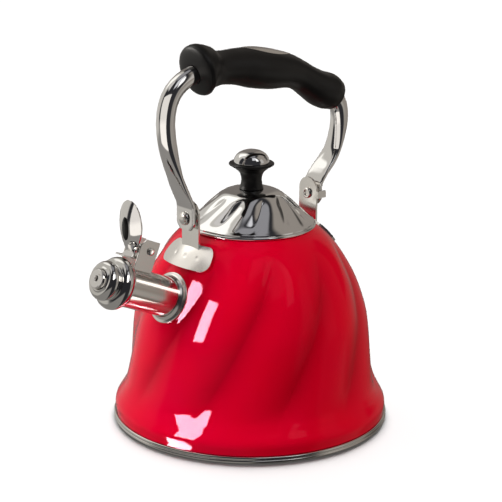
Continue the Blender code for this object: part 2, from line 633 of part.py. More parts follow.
def point_over_grip(path, x, turn, height):
    """A point at a height over the grip's surface, at an angle round it from its top."""
    near = next(index for index in range(1, len(path)) if path[index].x < x)
    before, after = path[near - 1], path[near]
    middle = before.lerp(after, (x - before.x) / (after.x - before.x))
    forward = Vector((after.x - before.x, 0, after.y - before.y)).normalized()
    up = Vector((forward.z, 0, -forward.x))
    spoke = up * math.cos(turn) + SIDE * math.sin(turn)
    return Vector((middle.x, 0, middle.y)) + spoke * (middle.z + height)


def plate_form(path, low, high, inset):
    """Oval plate that follows the top of the grip, between two heights over its surface."""
    rows_low, rows_high = [], []
    front, rear = PLATE_ENDS
    reach = (rear - front) / 2 + inset
    widest = math.radians(PLATE_HALF_TURN) - inset * 35
    for i in range(11):
        u = -1 + 2 * i / 10
        places = []
        for j in range(7):
            v = -1 + 2 * j / 6
            along = u * math.sqrt(1 - 0.5 * v * v)
            across = v * math.sqrt(1 - 0.5 * u * u)
            places.append(((front + rear) / 2 + reach * along, widest * across))
        rows_low.append([point_over_grip(path, x, turn, low) for x, turn in places])
        rows_high.append([point_over_grip(path, x, turn, high) for x, turn in places])
    return sheet(rows_low, rows_high)


# ---------------------------------------------------------------- spout
def reach_shell(radius, angle, out):
    """Length along the spout's axis at which a line beside it meets the shell's crests, moved out."""
    low, high = -0.030, 0.030
    for _ in range(40):
        middle = (low + high) / 2
        point = around_spout(angle, radius, middle)
        if math.hypot(point.x, point.y) < shell_radius(point.z) + out:
            low = middle
        else:
            high = middle
    return high


def make_spout(steel):
    inside = SPOUT_RADIUS - SPOUT_WALL

    def tube_place(angle, radius, along):
        if along < 0:
            along = reach_shell(radius, angle, FIT_GAP)
        return around_spout(angle, radius, along)
    outline = [(inside, -1), (SPOUT_RADIUS, -1), (SPOUT_RADIUS, SPOUT_LENGTH), (inside, SPOUT_LENGTH)]
    add_part("spout_tube", turned(outline, SPOUT_SEGMENTS, tube_place), steel)

    def collar_place(angle, radius, out):
        return around_spout(angle, radius, reach_shell(radius, angle, FIT_GAP) + out)
    hole = SPOUT_RADIUS + FIT_GAP
    outline = [(hole, 0), (COLLAR_RADIUS, 0), (COLLAR_RADIUS, 0.0008), (COLLAR_RADIUS - 0.0008, 0.0014),
               (hole + 0.0012, 0.0016), (hole, COLLAR_LIP)]
    add_part("spout_collar", turned(outline, 40, collar_place), steel)


# ---------------------------------------------------------------- whistle, lever and their bracket
PIVOT = beside_spout(PIVOT_ALONG, PIVOT_ABOVE)


def make_whistle(chrome, steel):
    place_big, big, bulge_big = WHISTLE_BIG
    place_small, small, bulge_small = WHISTLE_SMALL
    mouth_inner, mouth_outer = WHISTLE_MOUTH
    bore = NOZZLE_RADIUS + FIT_GAP
    outline = [(mouth_outer, WHISTLE_START)]
    outline += [(radius, along) for along, radius in
                arc((place_big, big - bulge_big), bulge_big, 145, 20, 6)]
    outline += [(radius, along) for along, radius in
                arc((place_small, small - bulge_small), bulge_small, 140, 20, 5)]
    outline += [(bore + WHISTLE_WALL, NOZZLE_END - 0.0030), (bore, NOZZLE_END - 0.0034)]
    inner = [(bore, NOZZLE_END - 0.0044)]
    inner += [(radius, along) for along, radius in
             arc((place_small, small - bulge_small), bulge_small - WHISTLE_WALL, 35, 140, 4)]
    inner += [(radius, along) for along, radius in
              arc((place_big, big - bulge_big), bulge_big - WHISTLE_WALL, 30, 120, 4)]
    inner += [(mouth_inner, WHISTLE_START + 0.0012), (mouth_inner, WHISTLE_START)]
    add_part("whistle_cap", turned(outline + inner, 28, around_spout), chrome, PIVOT)

    back = NOZZLE_END - NOZZLE_LENGTH
    outline = [(NOZZLE_HOLE_RADIUS, back), (NOZZLE_RADIUS, back), (NOZZLE_RADIUS, NOZZLE_END - 0.0006),
               (NOZZLE_RADIUS - 0.0006, NOZZLE_END), (NOZZLE_HOLE_RADIUS, NOZZLE_END)]
    add_part("whistle_nozzle", turned(outline, 28, around_spout), chrome, PIVOT)
    low = (place_big + place_small - REED_DISC_THICKNESS) / 2
    high = low + REED_DISC_THICKNESS
    outline = [(NOZZLE_HOLE_RADIUS, low), (REED_DISC_RADIUS, low), (REED_DISC_RADIUS, high),
               (NOZZLE_HOLE_RADIUS, high)]
    add_part("whistle_reed_disc", turned(outline, 28, around_spout), steel, PIVOT)


def make_ear_bracket(steel):
    """Saddle on the spout with two upright ears that hold the whistle's pin."""
    inner = SPOUT_RADIUS + FIT_GAP
    outer = inner + EAR_SHEET
    ear_outer = EAR_INNER + EAR_SHEET
    root_out = math.degrees(math.asin(ear_outer / outer))
    root_in = math.degrees(math.asin(EAR_INNER / outer))

    def ring(radius, start, end, steps):
        turns = [math.radians(start + (end - start) * step / steps) for step in range(steps + 1)]
        return [(radius * math.sin(turn), radius * math.cos(turn)) for turn in turns]
    section = ring(outer, -SADDLE_SPREAD, -root_out, 2) + [(-ear_outer, EAR_TOP), (-EAR_INNER, EAR_TOP)]
    section += ring(outer, -root_in, root_in, 6) + [(EAR_INNER, EAR_TOP), (ear_outer, EAR_TOP)]
    section += ring(outer, root_out, SADDLE_SPREAD, 2) + ring(inner, SADDLE_SPREAD, -SADDLE_SPREAD, 12)
    start, end = EAR_ENDS
    outline = [beside_spout(0, above, side) for side, above in section]
    bracket = add_part("ear_bracket", prism(outline, SPOUT_DIRECTION * start, SPOUT_DIRECTION * end), steel)
    over, beyond = EAR_TOP + 0.001, end + 0.001
    corner = [beside_spout(beyond - EAR_CORNER[0], over), beside_spout(beyond, over),
              beside_spout(beyond, over - EAR_CORNER[1])]
    bracket = combine(bracket, prism(corner, SIDE * -ACROSS, SIDE * ACROSS), 'DIFFERENCE')
    hole = cylinder(PIVOT - SIDE * ACROSS, PIVOT + SIDE * ACROSS, PIN_RADIUS + FIT_GAP, 16)
    return combine(bracket, hole, 'DIFFERENCE')


def around_pin(angle, radius, side):
    """Turn about the whistle's pin; heights of the outline are distances to the side."""
    across = SPOUT_UP * math.cos(angle) + SPOUT_DIRECTION * math.sin(angle)
    return PIVOT + across * radius + SIDE * side


def make_pin(steel):
    """Pin through the ears, with a head on each side."""
    reach = EAR_INNER + EAR_SHEET + FIT_GAP
    head = [(PIN_RADIUS, reach)] + [(radius, reach + height) for radius, height in PIN_HEAD]
    outline = [(radius, -side) for radius, side in reversed(head)] + head
    add_part("whistle_pin", turned(outline, 16, around_pin), steel, PIVOT)


def make_spring(steel):
    """Torsion spring round the pin, beside the lever's eye."""
    steps = SPRING_TURNS * 12
    start, end = SPRING_ENDS
    loops = []
    for step in range(steps + 1):
        share = step / steps
        turn = math.tau * SPRING_TURNS * share
        outward = SPOUT_UP * math.cos(turn) + SPOUT_DIRECTION * math.sin(turn)
        centre = PIVOT + outward * SPRING_RADIUS + SIDE * (start + (end - start) * share)
        loops.append([centre + SPRING_WIRE * (outward * math.cos(math.tau * k / 6)
                                              + SIDE * math.sin(math.tau * k / 6)) for k in range(6)])
    add_part("whistle_spring", loft(loops), steel, PIVOT)


def lever_path():
    """Middle line of the lever's sheet as (point, half width, dish), from the eye up to its tip."""
    knee = beside_spout(*LEVER_KNEE)
    start = PIVOT - SPOUT_UP * 0.0023 + SPOUT_DIRECTION * 0.0012
    line = [(start, LEVER_HALF_WIDTH, 0.0), (start.lerp(knee, 0.5), LEVER_HALF_WIDTH, 0.0),
            (knee - SPOUT_DIRECTION * 0.0015, LEVER_HALF_WIDTH, 0.0),
            (knee + Vector((0.0006, 0, 0.0008)), LEVER_HALF_WIDTH - 0.0005, 0.0)]
    foot = knee.z + 0.0030
    rows = 12
    for row in range(rows + 1):
        share = row / rows
        if share < 0.5:
            swell = math.sin(math.pi * (0.13 + 0.87 * share) ** 1.25) ** 0.6
        else:
            swell = (1 - (2 * share - 1) ** SPOON_BLUNTNESS) ** (1 / SPOON_BLUNTNESS)
        bulge = math.sin(math.pi * min(1.0, 0.06 + 0.94 * share)) ** 0.8 if share < 1 else 0.0
        centre = Vector((SPOON_ROOT + SPOON_LEAN * bulge, 0, foot + (SPOON_TOP - foot) * share))
        line.append((centre, max(SPOON_TIP_HALF_WIDTH, SPOON_HALF_WIDTH * swell), SPOON_DISH * bulge))
    return line


def make_lever(steel):
    """Bent sheet lever: an eye on the pin, a tongue on the whistle and a dished spoon with an oval hole."""
    line = lever_path()
    low, high = [], []
    for index, (centre, width, dish) in enumerate(line):
        ahead = line[min(index + 1, len(line) - 1)][0] - line[max(index - 1, 0)][0]
        normal = Vector((ahead.z, 0, -ahead.x)).normalized()
        places = [-1 + j / 4 for j in range(9)]
        row = [centre + SIDE * (width * v) - normal * (dish * v * v) for v in places]
        low.append([point - normal * (LEVER_SHEET / 2) for point in row])
        high.append([point + normal * (LEVER_SHEET / 2) for point in row])
    lever = add_part("thumb_lever", sheet(low, high), steel, PIVOT)

    hole = PIN_RADIUS + FIT_GAP
    start, end = EYE_ENDS
    eye = turned([(hole, start), (EYE_RADIUS, start), (EYE_RADIUS, end), (hole, end)], 20, around_pin)
    lever = combine(lever, eye, 'UNION')
    near, far = PIVOT + SIDE * (end + 0.0001), PIVOT + SIDE * 0.0080
    spring_room = cylinder(near, far, SPRING_RADIUS + SPRING_ROOM, 20)
    lever = combine(lever, spring_room, 'DIFFERENCE')
    tongue = [beside_spout(along, above) for along, above in LEVER_TONGUE]
    half = SIDE * LEVER_TONGUE_HALF_WIDTH
    lever = combine(lever, prism(tongue, -half, half), 'UNION')
    return combine(lever, loft([spoon_oval(SPOON_HOLE[0] - 0.010), spoon_oval(SPOON_HOLE[0] + 0.010)]),
                   'DIFFERENCE')


def spoon_oval(forward, grow=0.0):
    """Oval ring the size of the spoon's hole, at a distance forward."""
    wide, tall = SPOON_HOLE_HALF
    turns = [math.tau * k / 20 for k in range(20)]
    return [Vector((forward, (wide + grow) * math.cos(turn), SPOON_HOLE[1] + (tall + grow) * math.sin(turn)))
            for turn in turns]


def make_pad(plastic):
    """Dark pad for the thumb, let into the spoon's hole, with a flange behind the sheet."""
    back, seat = SPOON_ROOT + PAD_SEAT[0], SPOON_ROOT + PAD_SEAT[1]
    face = SPOON_ROOT + PAD_FRONT
    rings = [spoon_oval(back, PAD_FLANGE), spoon_oval(seat, PAD_FLANGE), spoon_oval(seat, -FIT_GAP),
             spoon_oval(face - 0.0010, -FIT_GAP), spoon_oval(face - 0.0003, -FIT_GAP - 0.0006),
             spoon_oval(face, -FIT_GAP - 0.0016)]
    add_part("thumb_pad", loft(rings), plastic, PIVOT)


# ---------------------------------------------------------------- assembly
def build():
    clear_scene()
    enamel = finish("red_enamel", (0.62, 0.004, 0.022), 0.0, 0.12)
    polished = finish("polished_steel", (0.62, 0.60, 0.57), 1.0, 0.18)
    chrome = finish("chrome", (0.80, 0.79, 0.78), 1.0, 0.05)
    aluminium = finish("aluminium", (0.78, 0.78, 0.78), 1.0, 0.4)
    plastic = finish("black_plastic", (0.012, 0.011, 0.011), 0.0, 0.42)
    make_shell(enamel)
    make_base(polished, aluminium)
    make_mouth(polished)
    make_lid(chrome, polished)
    make_knob(plastic, chrome)
    make_knob_fixing(polished)
    make_bracket("front_bracket", 1, polished)
    add_stop_lug(make_bracket("rear_bracket", -1, polished))
    make_pivot("front_rivet", "front_washer", 1, polished)
    make_pivot("rear_rivet", "rear_washer", -1, polished)
    make_arm("front_arm", FRONT_ARM, 1, chrome)
    make_arm("rear_arm", REAR_ARM, -1, chrome)
    make_grip(plastic, polished)
    make_spout(polished)
    make_ear_bracket(polished)
    make_pin(polished)
    make_spring(polished)
    make_lever(chrome)
    make_pad(plastic)
    make_whistle(chrome, polished)


build()
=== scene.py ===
import json
from math import asin, copysign, cos, degrees, exp, hypot, pi, radians, sin, sqrt, tau

import bmesh
import bpy
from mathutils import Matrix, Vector


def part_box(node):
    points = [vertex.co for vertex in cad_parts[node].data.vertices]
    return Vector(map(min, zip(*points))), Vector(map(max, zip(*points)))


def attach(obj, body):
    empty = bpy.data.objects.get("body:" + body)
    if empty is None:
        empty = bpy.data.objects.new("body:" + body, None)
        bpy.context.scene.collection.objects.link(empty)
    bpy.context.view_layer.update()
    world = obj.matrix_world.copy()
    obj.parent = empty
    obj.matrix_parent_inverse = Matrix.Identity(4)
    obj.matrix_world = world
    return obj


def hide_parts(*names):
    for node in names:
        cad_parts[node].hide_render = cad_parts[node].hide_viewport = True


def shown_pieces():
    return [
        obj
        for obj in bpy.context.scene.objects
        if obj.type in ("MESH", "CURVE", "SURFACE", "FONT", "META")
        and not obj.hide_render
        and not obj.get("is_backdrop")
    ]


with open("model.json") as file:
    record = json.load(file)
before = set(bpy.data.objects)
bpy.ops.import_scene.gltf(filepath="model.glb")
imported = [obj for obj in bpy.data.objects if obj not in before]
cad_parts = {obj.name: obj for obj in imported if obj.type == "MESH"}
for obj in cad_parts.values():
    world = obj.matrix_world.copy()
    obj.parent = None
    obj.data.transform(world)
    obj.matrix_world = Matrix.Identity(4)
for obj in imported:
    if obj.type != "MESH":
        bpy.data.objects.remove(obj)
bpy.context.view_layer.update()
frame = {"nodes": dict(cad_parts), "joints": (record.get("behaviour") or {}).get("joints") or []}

# ---- sizes, in metres and degrees
JOINTS = {joint["name"]: joint for joint in frame["joints"]}
HINGE_HEIGHT = JOINTS["handle_fold"]["pos_m"][2]
PIVOT = Vector(JOINTS["whistle_flip"]["pos_m"])
BASE_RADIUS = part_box("base_rim")[1].x
RIM_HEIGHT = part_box("base_rim")[1].z
LID_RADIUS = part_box("lid_shell")[1].x
LID_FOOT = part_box("lid_shell")[0].z
LID_CROWN = 0.1606
SHELL_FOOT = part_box("body_shell")[0].z
GAP = 0.00035

FLUTE_COUNT = 10
FLUTE_DEPTH = 0.0022
FLUTE_PHASE = 38.5
FLUTE_PHASE_HEIGHT = 0.058
FLUTE_TWIST = 385.0  # degrees per metre of height
FLUTE_GROWS = (0.014, 0.034)  # heights between which the lobes grow from the skirt
FLUTE_FADES = (0.112, 0.131)  # and fade towards the mouth
VALLEY_SHADE_GROWS = (0.018, 0.045)  # the same for the painted shade that darkens the valleys
VALLEY_SHADE_FADES = (0.1, 0.128)
LID_FLUTE_DEPTH = 0.0018
LID_FLUTE_PHASE = 20.0
LID_FLUTE_SWEEP = -18.0  # radians per metre of radius
LID_FLUTE_GROWS = (0.1375, 0.144)
LID_FLUTE_FADES = (0.153, 0.159)
LID_WALL = 0.0008
SHELL_WALL = 0.001
SHELL_OUTLINE = [(0.043, 0.1352), (0.044, 0.1345), (0.049, 0.131), (0.0552, 0.125),
                 (0.0615, 0.117), (0.0671, 0.108), (0.0723, 0.098), (0.0768, 0.086),
                 (0.0805, 0.072), (0.0839, 0.046), (0.0867, 0.028), (0.0897, 0.02),
                 (0.0937, 0.012), (0.0935, SHELL_FOOT)]
MOUTH_RADIUS = 0.0406
LINING_FOOT = 0.1262
LINING_LEDGE = 0.136
SKIRT_FOOT = 0.1275
SKIRT_LEDGE = 0.1371

KNOB_FLANGE_RADIUS = 0.0154
KNOB_FLANGE_HEIGHT = 0.1786
KNOB_CAP_RADIUS = 0.0121
KNOB_TOP = 0.1876
KNOB_SCREW_RADIUS = 0.002
KNOB_SOCKET_TOP = 0.1765

UPRIGHT_INNER = 0.0518
BRACKET_SHEET = 0.0014
UPRIGHT_HALF_WIDTH = 0.0087
UPRIGHT_FOOT = 0.129
LUG_OUTER = -0.0592
LUG_EDGES = (0.0094, 0.0108)
LUG_HALF_HEIGHT = 0.0024
FOOT_HALF_ANGLE = 22.8
FOOT_LOW = 0.1165
FOOT_HIGH = 0.13
FOOT_CORNER = 0.0056
WELDS = (-0.42, 0.02, 0.5)  # shares of the foot's half length
WELD_DEPTH = 0.004  # share of the distance from the frame's origin
WELD_SHARPNESS = (28.8, 12.8)  # along the foot and up it
WASHER_THICKNESS = 0.0014
TAB_THICKNESS = 0.0026
TAB_HALF_WIDTH = 0.0088
TAB_CUT = 0.0042  # taken off the tab's half width at its cut corners
TAB_END = (0.14, 0.1462)  # heights over which the cut runs
TUBE_RADIUS = 0.0062
TUBE_ROUNDS = (0.156, 0.205)  # heights over which the flat tab turns into a tube
CORNERS_FADE = (0.156, 0.18)  # and over which its corners soften
RIVET_RADIUS = 0.0027
RIVET_HEAD_RADIUS = 0.0046
RIVET_HEAD_HEIGHT = 0.0022
WASHER_RADIUS = 0.0062
TAB_X = UPRIGHT_INNER + BRACKET_SHEET + WASHER_THICKNESS + 2 * GAP + TAB_THICKNESS / 2

SPOUT_START = Vector((0.0703, 0.0, 0.097))
SPOUT_ANGLE = 23.0
SPOUT_RADIUS = 0.0134
SPOUT_WALL = 0.001
SPOUT_LENGTH = 0.0455
SPOUT_REACH = 0.03  # how far each way the tube looks for the shell
SHELL_HOLE_RADIUS = 0.0112
COLLAR_RADIUS = 0.0173
WHISTLE_START = 0.044  # places along the spout's axis
WHISTLE_BIG = (0.0487, 0.0174, 0.0048)  # place, outer radius and bulge radius
WHISTLE_SMALL = (0.0572, 0.013, 0.0044)
WHISTLE_WALL = 0.0008
WHISTLE_MOUTH = (0.0145, 0.0154)  # radii of its open end
NOZZLE_RADIUS = 0.0062
NOZZLE_END = 0.0645
NOZZLE_LENGTH = 0.0052
NOZZLE_HOLE_RADIUS = 0.0018
EAR_START = 0.0288
EAR_END = 0.0436
EAR_TOP = 0.033
EAR_INNER = 0.0069
EAR_SHEET = 0.001
SADDLE_SPREAD = 45
PIN_RADIUS = 0.0015
PIN_HEAD_RADIUS = 0.0025
WIRE_RADIUS = 0.0004
COIL_RADIUS = 0.0024
COIL_START = 0.0014
COIL_LENGTH = 0.0044
LEVER_SHEET = 0.0011
NECK_HALF_WIDTH = 0.006
EYE_RADIUS = 0.003
EYE_SIDES = (-0.006, 0.0008)  # the eye's ends along the pin
SPOON_X = 0.102
SPOON_TOP = 0.1685
SPOON_HALF_WIDTH = 0.0115
SPOON_BULGE = 0.0042
SPOON_DISH = 0.0046
OVAL_MIDDLE = 0.1507  # height of the hole in the spoon, which the black pad fills
OVAL_HALF_WIDTH = 0.0036
OVAL_HALF_HEIGHT = 0.0078
SPOUT_DIRECTION = Vector((cos(radians(SPOUT_ANGLE)), 0, sin(radians(SPOUT_ANGLE))))
SPOUT_UP = Vector((-SPOUT_DIRECTION.z, 0, SPOUT_DIRECTION.x))
SIDE = Vector((0, 1, 0))

# middle of each arm in the plane y = 0: distance forward and height, from the tab to inside the grip
FRONT_ARM = [(TAB_X, 0.1418), (TAB_X, 0.154), (0.0571, 0.1592), (0.0601, 0.166), (0.065, 0.177),
             (0.0694, 0.191), (0.0722, 0.2046), (0.0729, 0.216), (0.0712, 0.226), (0.0672, 0.2337),
             (0.061, 0.2392), (0.0535, 0.2428), (0.044, 0.245)]
REAR_ARM = [(-TAB_X, 0.1418), (-TAB_X, 0.154), (-0.059, 0.1592), (-0.0632, 0.1642), (-0.0692, 0.1702),
            (-0.0744, 0.177), (-0.0782, 0.186), (-0.0805, 0.196), (-0.0802, 0.2055), (-0.0772, 0.2125),
            (-0.0715, 0.218)]
# middle of the grip and its half thickness: distance forward, height, radius
GRIP_SPINE = [(0.0478, 0.246, 0.0166), (0.045, 0.2466, 0.0171), (0.041, 0.2468, 0.0153),
              (0.035, 0.2461, 0.0124), (0.0275, 0.246, 0.0112), (0.015, 0.2454, 0.0121),
              (0.001, 0.2434, 0.0137), (-0.015, 0.2405, 0.0135), (-0.03, 0.2378, 0.0117),
              (-0.0405, 0.2338, 0.0105), (-0.0505, 0.2278, 0.011), (-0.06, 0.2224, 0.0123),
              (-0.068, 0.2194, 0.0127), (-0.0735, 0.2168, 0.0113)]
GRIP_FRONT_DOME = 0.16  # lengths of the grip's round ends, as shares of its radius there
GRIP_REAR_DOME = 0.4
PLATE_FRONT = 0.0104
PLATE_REAR = -0.0304
PLATE_HALF_ANGLE = 38


# ---- curves and surfaces
def smooth_path(points, steps):
    """A curve through every point, with the given number of steps from each point to the next."""
    points = [Vector(point) for point in points]
    ends = [points[0] * 2 - points[1]] + points + [points[-1] * 2 - points[-2]]
    path = []
    for before, start, end, after in zip(ends, ends[1:], ends[2:], ends[3:]):
        for step in range(steps):
            t = step / steps
            path.append(0.5 * (2 * start + (end - before) * t
                               + (2 * before - 5 * start + 4 * end - after) * t ** 2
                               + (3 * start - before - 3 * end + after) * t ** 3))
    path.append(points[-1])
    return path


def arc(centre, radius, start, end, steps):
    """Points of a round stretch of an outline; angles are in degrees from the outline's first axis."""
    turns = [radians(start + (end - start) * step / steps) for step in range(steps + 1)]
    return [(centre[0] + radius * cos(turn), centre[1] + radius * sin(turn)) for turn in turns]


def rounded(outline, radius, steps=4, closed=True):
    """An outline of 2-D points with its corners rounded off."""
    points = [Vector(point[:2]) for point in outline]
    result = []
    for index, corner in enumerate(points):
        if not closed and index in (0, len(points) - 1):
            result.append(tuple(corner))
            continue
        before, after = points[index - 1], points[(index + 1) % len(points)]
        reach = min(radius, (before - corner).length * 0.45, (after - corner).length * 0.45)
        start = corner + (before - corner).normalized() * reach
        end = corner + (after - corner).normalized() * reach
        for step in range(steps + 1):
            t = step / steps
            result.append(tuple((1 - t) ** 2 * start + 2 * t * (1 - t) * corner + t * t * end))
    return result


def side_path(points, steps):
    """A curve in the plane y = 0 through points given as (distance forward, height)."""
    return smooth_path([(x, 0, z) for x, z in points], steps)


def circle(count):
    """The cosine and sine of evenly spaced turns."""
    return [(cos(tau * k / count), sin(tau * k / count)) for k in range(count)]


def spaced(steps):
    """Evenly spaced values from -1 to 1."""
    return [-1 + 2 * step / steps for step in range(steps + 1)]


def lengthwise(points):
    """Outline points (radius, place) from points given as (place, radius)."""
    return [(radius, along) for along, radius in points]


def profile(path):
    """Outline points (radius, height) of a path in the plane y = 0."""
    return [(point.x, point.z) for point in path]


def fade(value, start, end):
    """Smooth change from 0 at start to 1 at end."""
    share = min(max((value - start) / (end - start), 0.0), 1.0)
    return share * share * (3 - 2 * share)


def loft(loops):
    """A skin through loops of equal length, with flat ends."""
    mesh = bmesh.new()
    rings = [[mesh.verts.new(point) for point in loop] for loop in loops]
    for ring, following in zip(rings, rings[1:]):
        for index in range(len(ring)):
            after = (index + 1) % len(ring)
            mesh.faces.new((ring[index], ring[after], following[after], following[index]))
    mesh.faces.new(rings[0])
    mesh.faces.new(reversed(rings[-1]))
    return mesh


def domed(radius, foot, rise, power, step):
    """Outline of a dome, from its foot to just short of its top."""
    turns = [radians(turn) for turn in range(0, 90, step)]
    return [(radius * cos(turn) ** power, foot + rise * sin(turn)) for turn in turns]


def around_z(angle, radius, height):
    return Vector((radius * cos(angle), radius * sin(angle), height))


def around_spout(angle, radius, along):
    """Turn about the spout's axis; heights of the outline are lengths along that axis."""
    across = SPOUT_UP * cos(angle) + SIDE * sin(angle)
    return SPOUT_START + SPOUT_DIRECTION * along + across * radius


def around_pin(angle, radius, side):
    """Turn about the whistle's pin."""
    across = SPOUT_UP * cos(angle) + SPOUT_DIRECTION * sin(angle)
    return PIVOT + across * radius + SIDE * side


def beside_spout(along, above, side=0.0):
    """A point given along the spout's axis, above it and to its side."""
    return SPOUT_START + SPOUT_DIRECTION * along + SPOUT_UP * above + SIDE * side


def turned(outline, segments, place=around_z, closed=True):
    """Turn an outline of (radius, height), its ends joined if closed; no radius makes a single vertex."""
    mesh = bmesh.new()
    rings = []
    for radius, height in outline:
        count = segments if radius > 0 else 1
        rings.append([mesh.verts.new(place(tau * k / segments, radius, height)) for k in range(count)])
    for ring, following in zip(rings, rings[1:] + rings[:1] if closed else rings[1:]):
        if len(ring) == len(following) == 1:
            continue
        for k in range(segments):
            corners = [ring[k % len(ring)], ring[(k + 1) % len(ring)],
                       following[(k + 1) % len(following)], following[k % len(following)]]
            mesh.faces.new([corner for i, corner in enumerate(corners) if corner not in corners[:i]])
    return mesh


def heading(path, index):
    """The direction, not of length 1, in which a path runs at one of its points."""
    return path[min(index + 1, len(path) - 1)] - path[max(index - 1, 0)]


def sheet(lower, upper):
    """A closed plate between two grids of points of the same size."""
    rows, columns = len(lower), len(lower[0])
    mesh = bmesh.new()
    low = [[mesh.verts.new(point) for point in row] for row in lower]
    high = [[mesh.verts.new(point) for point in row] for row in upper]
    for i in range(rows - 1):
        for j in range(columns - 1):
            for grid in (low, high):
                mesh.faces.new((grid[i][j], grid[i][j + 1], grid[i + 1][j + 1], grid[i + 1][j]))
    edge = [(0, j) for j in range(columns)] + [(i, columns - 1) for i in range(1, rows)]
    edge += [(rows - 1, j) for j in range(columns - 2, -1, -1)] + [(i, 0) for i in range(rows - 2, 0, -1)]
    for (i, j), (k, l) in zip(edge, edge[1:] + edge[:1]):
        mesh.faces.new((low[i][j], low[k][l], high[k][l], high[i][j]))
    return mesh


def cylinder(start, end, radius, segments=48):
    """A round bar from one point to another."""
    start, end = Vector(start), Vector(end)
    direction = (end - start).normalized()
    first = direction.orthogonal().normalized()
    second = direction.cross(first)
    return loft([[centre + radius * (first * cosine + second * sine) for cosine, sine in circle(segments)]
                 for centre in (start, end)])


def prism(outline, start, end):
    """A flat outline (list of 3-D points) pushed from the offset start to the offset end."""
    return loft([[Vector(point) + Vector(start) for point in outline],
                 [Vector(point) + Vector(end) for point in outline]])


# ---- pieces
def new_object(name, data):
    made = bpy.data.objects.new(name, data)
    bpy.context.scene.collection.objects.link(made)
    return made


def piece(name, mesh, material, body, nodes=(), crease=40.0):
    """Make an object from a bmesh, riding on a body in place of the given nodes."""
    bmesh.ops.recalc_face_normals(mesh, faces=mesh.faces)
    data = bpy.data.meshes.new(name)
    mesh.to_mesh(data)
    mesh.free()
    data.materials.append(material)
    data.shade_smooth()
    data.set_sharp_from_angle(angle=radians(crease))
    made = new_object(name, data)
    if body:
        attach(made, body)
    if nodes:
        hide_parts(*nodes)
    return made


def steel_piece(name, mesh, node, body="kettle_body", crease=40.0):
    return piece(name, mesh, STEEL, body, [node], crease)


def combine(part, tool_mesh, operation, crease=40.0):
    """Join a second closed form to a piece, or cut it out of the piece."""
    tool = piece("cutter", tool_mesh, part.data.materials[0], None)
    modifier = part.modifiers.new("combine", 'BOOLEAN')
    modifier.operation = operation
    modifier.solver = 'EXACT'
    modifier.object = tool
    bpy.context.view_layer.update()
    evaluated = part.evaluated_get(bpy.context.evaluated_depsgraph_get())
    result = bpy.data.meshes.new_from_object(evaluated)
    part.modifiers.clear()
    part.data = result
    result.shade_smooth()
    result.set_sharp_from_angle(angle=radians(crease))
    bpy.data.objects.remove(tool, do_unlink=True)


def soften(part, width):
    """Rounded edges, as on pressed or machined metal."""
    bevel = part.modifiers.new("soft_edges", 'BEVEL')
    bevel.width = width
    bevel.segments = 2
    bevel.limit_method = 'ANGLE'
    bevel.angle_limit = radians(50)
    bevel.harden_normals = True


# ---- materials
class Tree:
    """Short way to write nodes; a value is a number, a tuple or another node's socket."""

    def __init__(self, tree):
        self.tree = tree

    def add(self, kind, inputs=None, **settings):
        node = self.tree.nodes.new(kind)
        for key, value in settings.items():
            setattr(node, key, value)
        for key, value in (inputs or {}).items():
            self.feed(node.inputs[key], value)
        return node

    def feed(self, socket, value):
        if isinstance(value, bpy.types.NodeSocket):
            self.tree.links.new(value, socket)
        else:
            socket.default_value = value

    def math(self, operation, *values):
        return self.add('ShaderNodeMath', dict(enumerate(values)), operation=operation).outputs[0]

    def spread(self, value, low, high, start=0.3, end=0.7, **settings):
        """Map a value from start..end to low..high."""
        return self.add('ShaderNodeMapRange', {"Value": value, "From Min": start, "From Max": end,
                                               "To Min": low, "To Max": high}, **settings).outputs[0]

    def tint(self, share, first, second):
        """Mix two colours."""
        first, second = (colour if isinstance(colour, bpy.types.NodeSocket) else (*colour, 1)
                         for colour in (first, second))
        return self.add('ShaderNodeMix', {0: share, 6: first, 7: second}, data_type='RGBA').outputs[2]


class Nodes(Tree):
    """A material and its nodes."""

    def __init__(self, name, metallic=0.0, roughness=0.3):
        self.material = bpy.data.materials.new(name)
        self.material.use_nodes = True
        super().__init__(self.material.node_tree)
        self.shader = self.tree.nodes["Principled BSDF"]
        self.set(metallic=metallic, roughness=roughness)
        self.place = self.add('ShaderNodeTexCoord').outputs["Object"]

    def set(self, **values):
        for key, value in values.items():
            self.feed(self.shader.inputs[key.replace("_", " ").title().replace("Ior", "IOR")], value)

    def noise(self, scale, detail, stretch=(1, 1, 1)):
        mapped = self.add('ShaderNodeMapping', {"Vector": self.place, "Scale": stretch})
        return self.add('ShaderNodeTexNoise', {"Vector": mapped.outputs[0], "Scale": scale,
                                               "Detail": detail}).outputs[0]

    def bump(self, height, strength, distance):
        return self.add('ShaderNodeBump', {"Height": height, "Strength": strength,
                                           "Distance": distance}).outputs[0]


def painted_valley_shade(m):
    """Mask of the painted shade in the valleys: 0 on the crests of the body's lobes and 1 along their
    valleys, as in fluted().
    """
    split = m.add('ShaderNodeSeparateXYZ', {"Vector": m.place})
    bearing = m.math('ARCTAN2', split.outputs["Y"], split.outputs["X"])
    climb = m.math('SUBTRACT', split.outputs["Z"], FLUTE_PHASE_HEIGHT)
    valley = m.math('MULTIPLY_ADD', climb, radians(FLUTE_TWIST), radians(FLUTE_PHASE))
    turn = m.math('MULTIPLY', m.math('SUBTRACT', bearing, valley), FLUTE_COUNT / 2)
    away = m.math('ABSOLUTE', m.math('SINE', turn))
    grown = m.math('MULTIPLY', m.spread(split.outputs["Z"], 0, 1, *VALLEY_SHADE_GROWS),
                   m.spread(split.outputs["Z"], 1, 0, *VALLEY_SHADE_FADES))
    return m.math('MULTIPLY', m.math('POWER', m.spread(away, 1, 0, 0.0, 1.0), 1.4), grown)


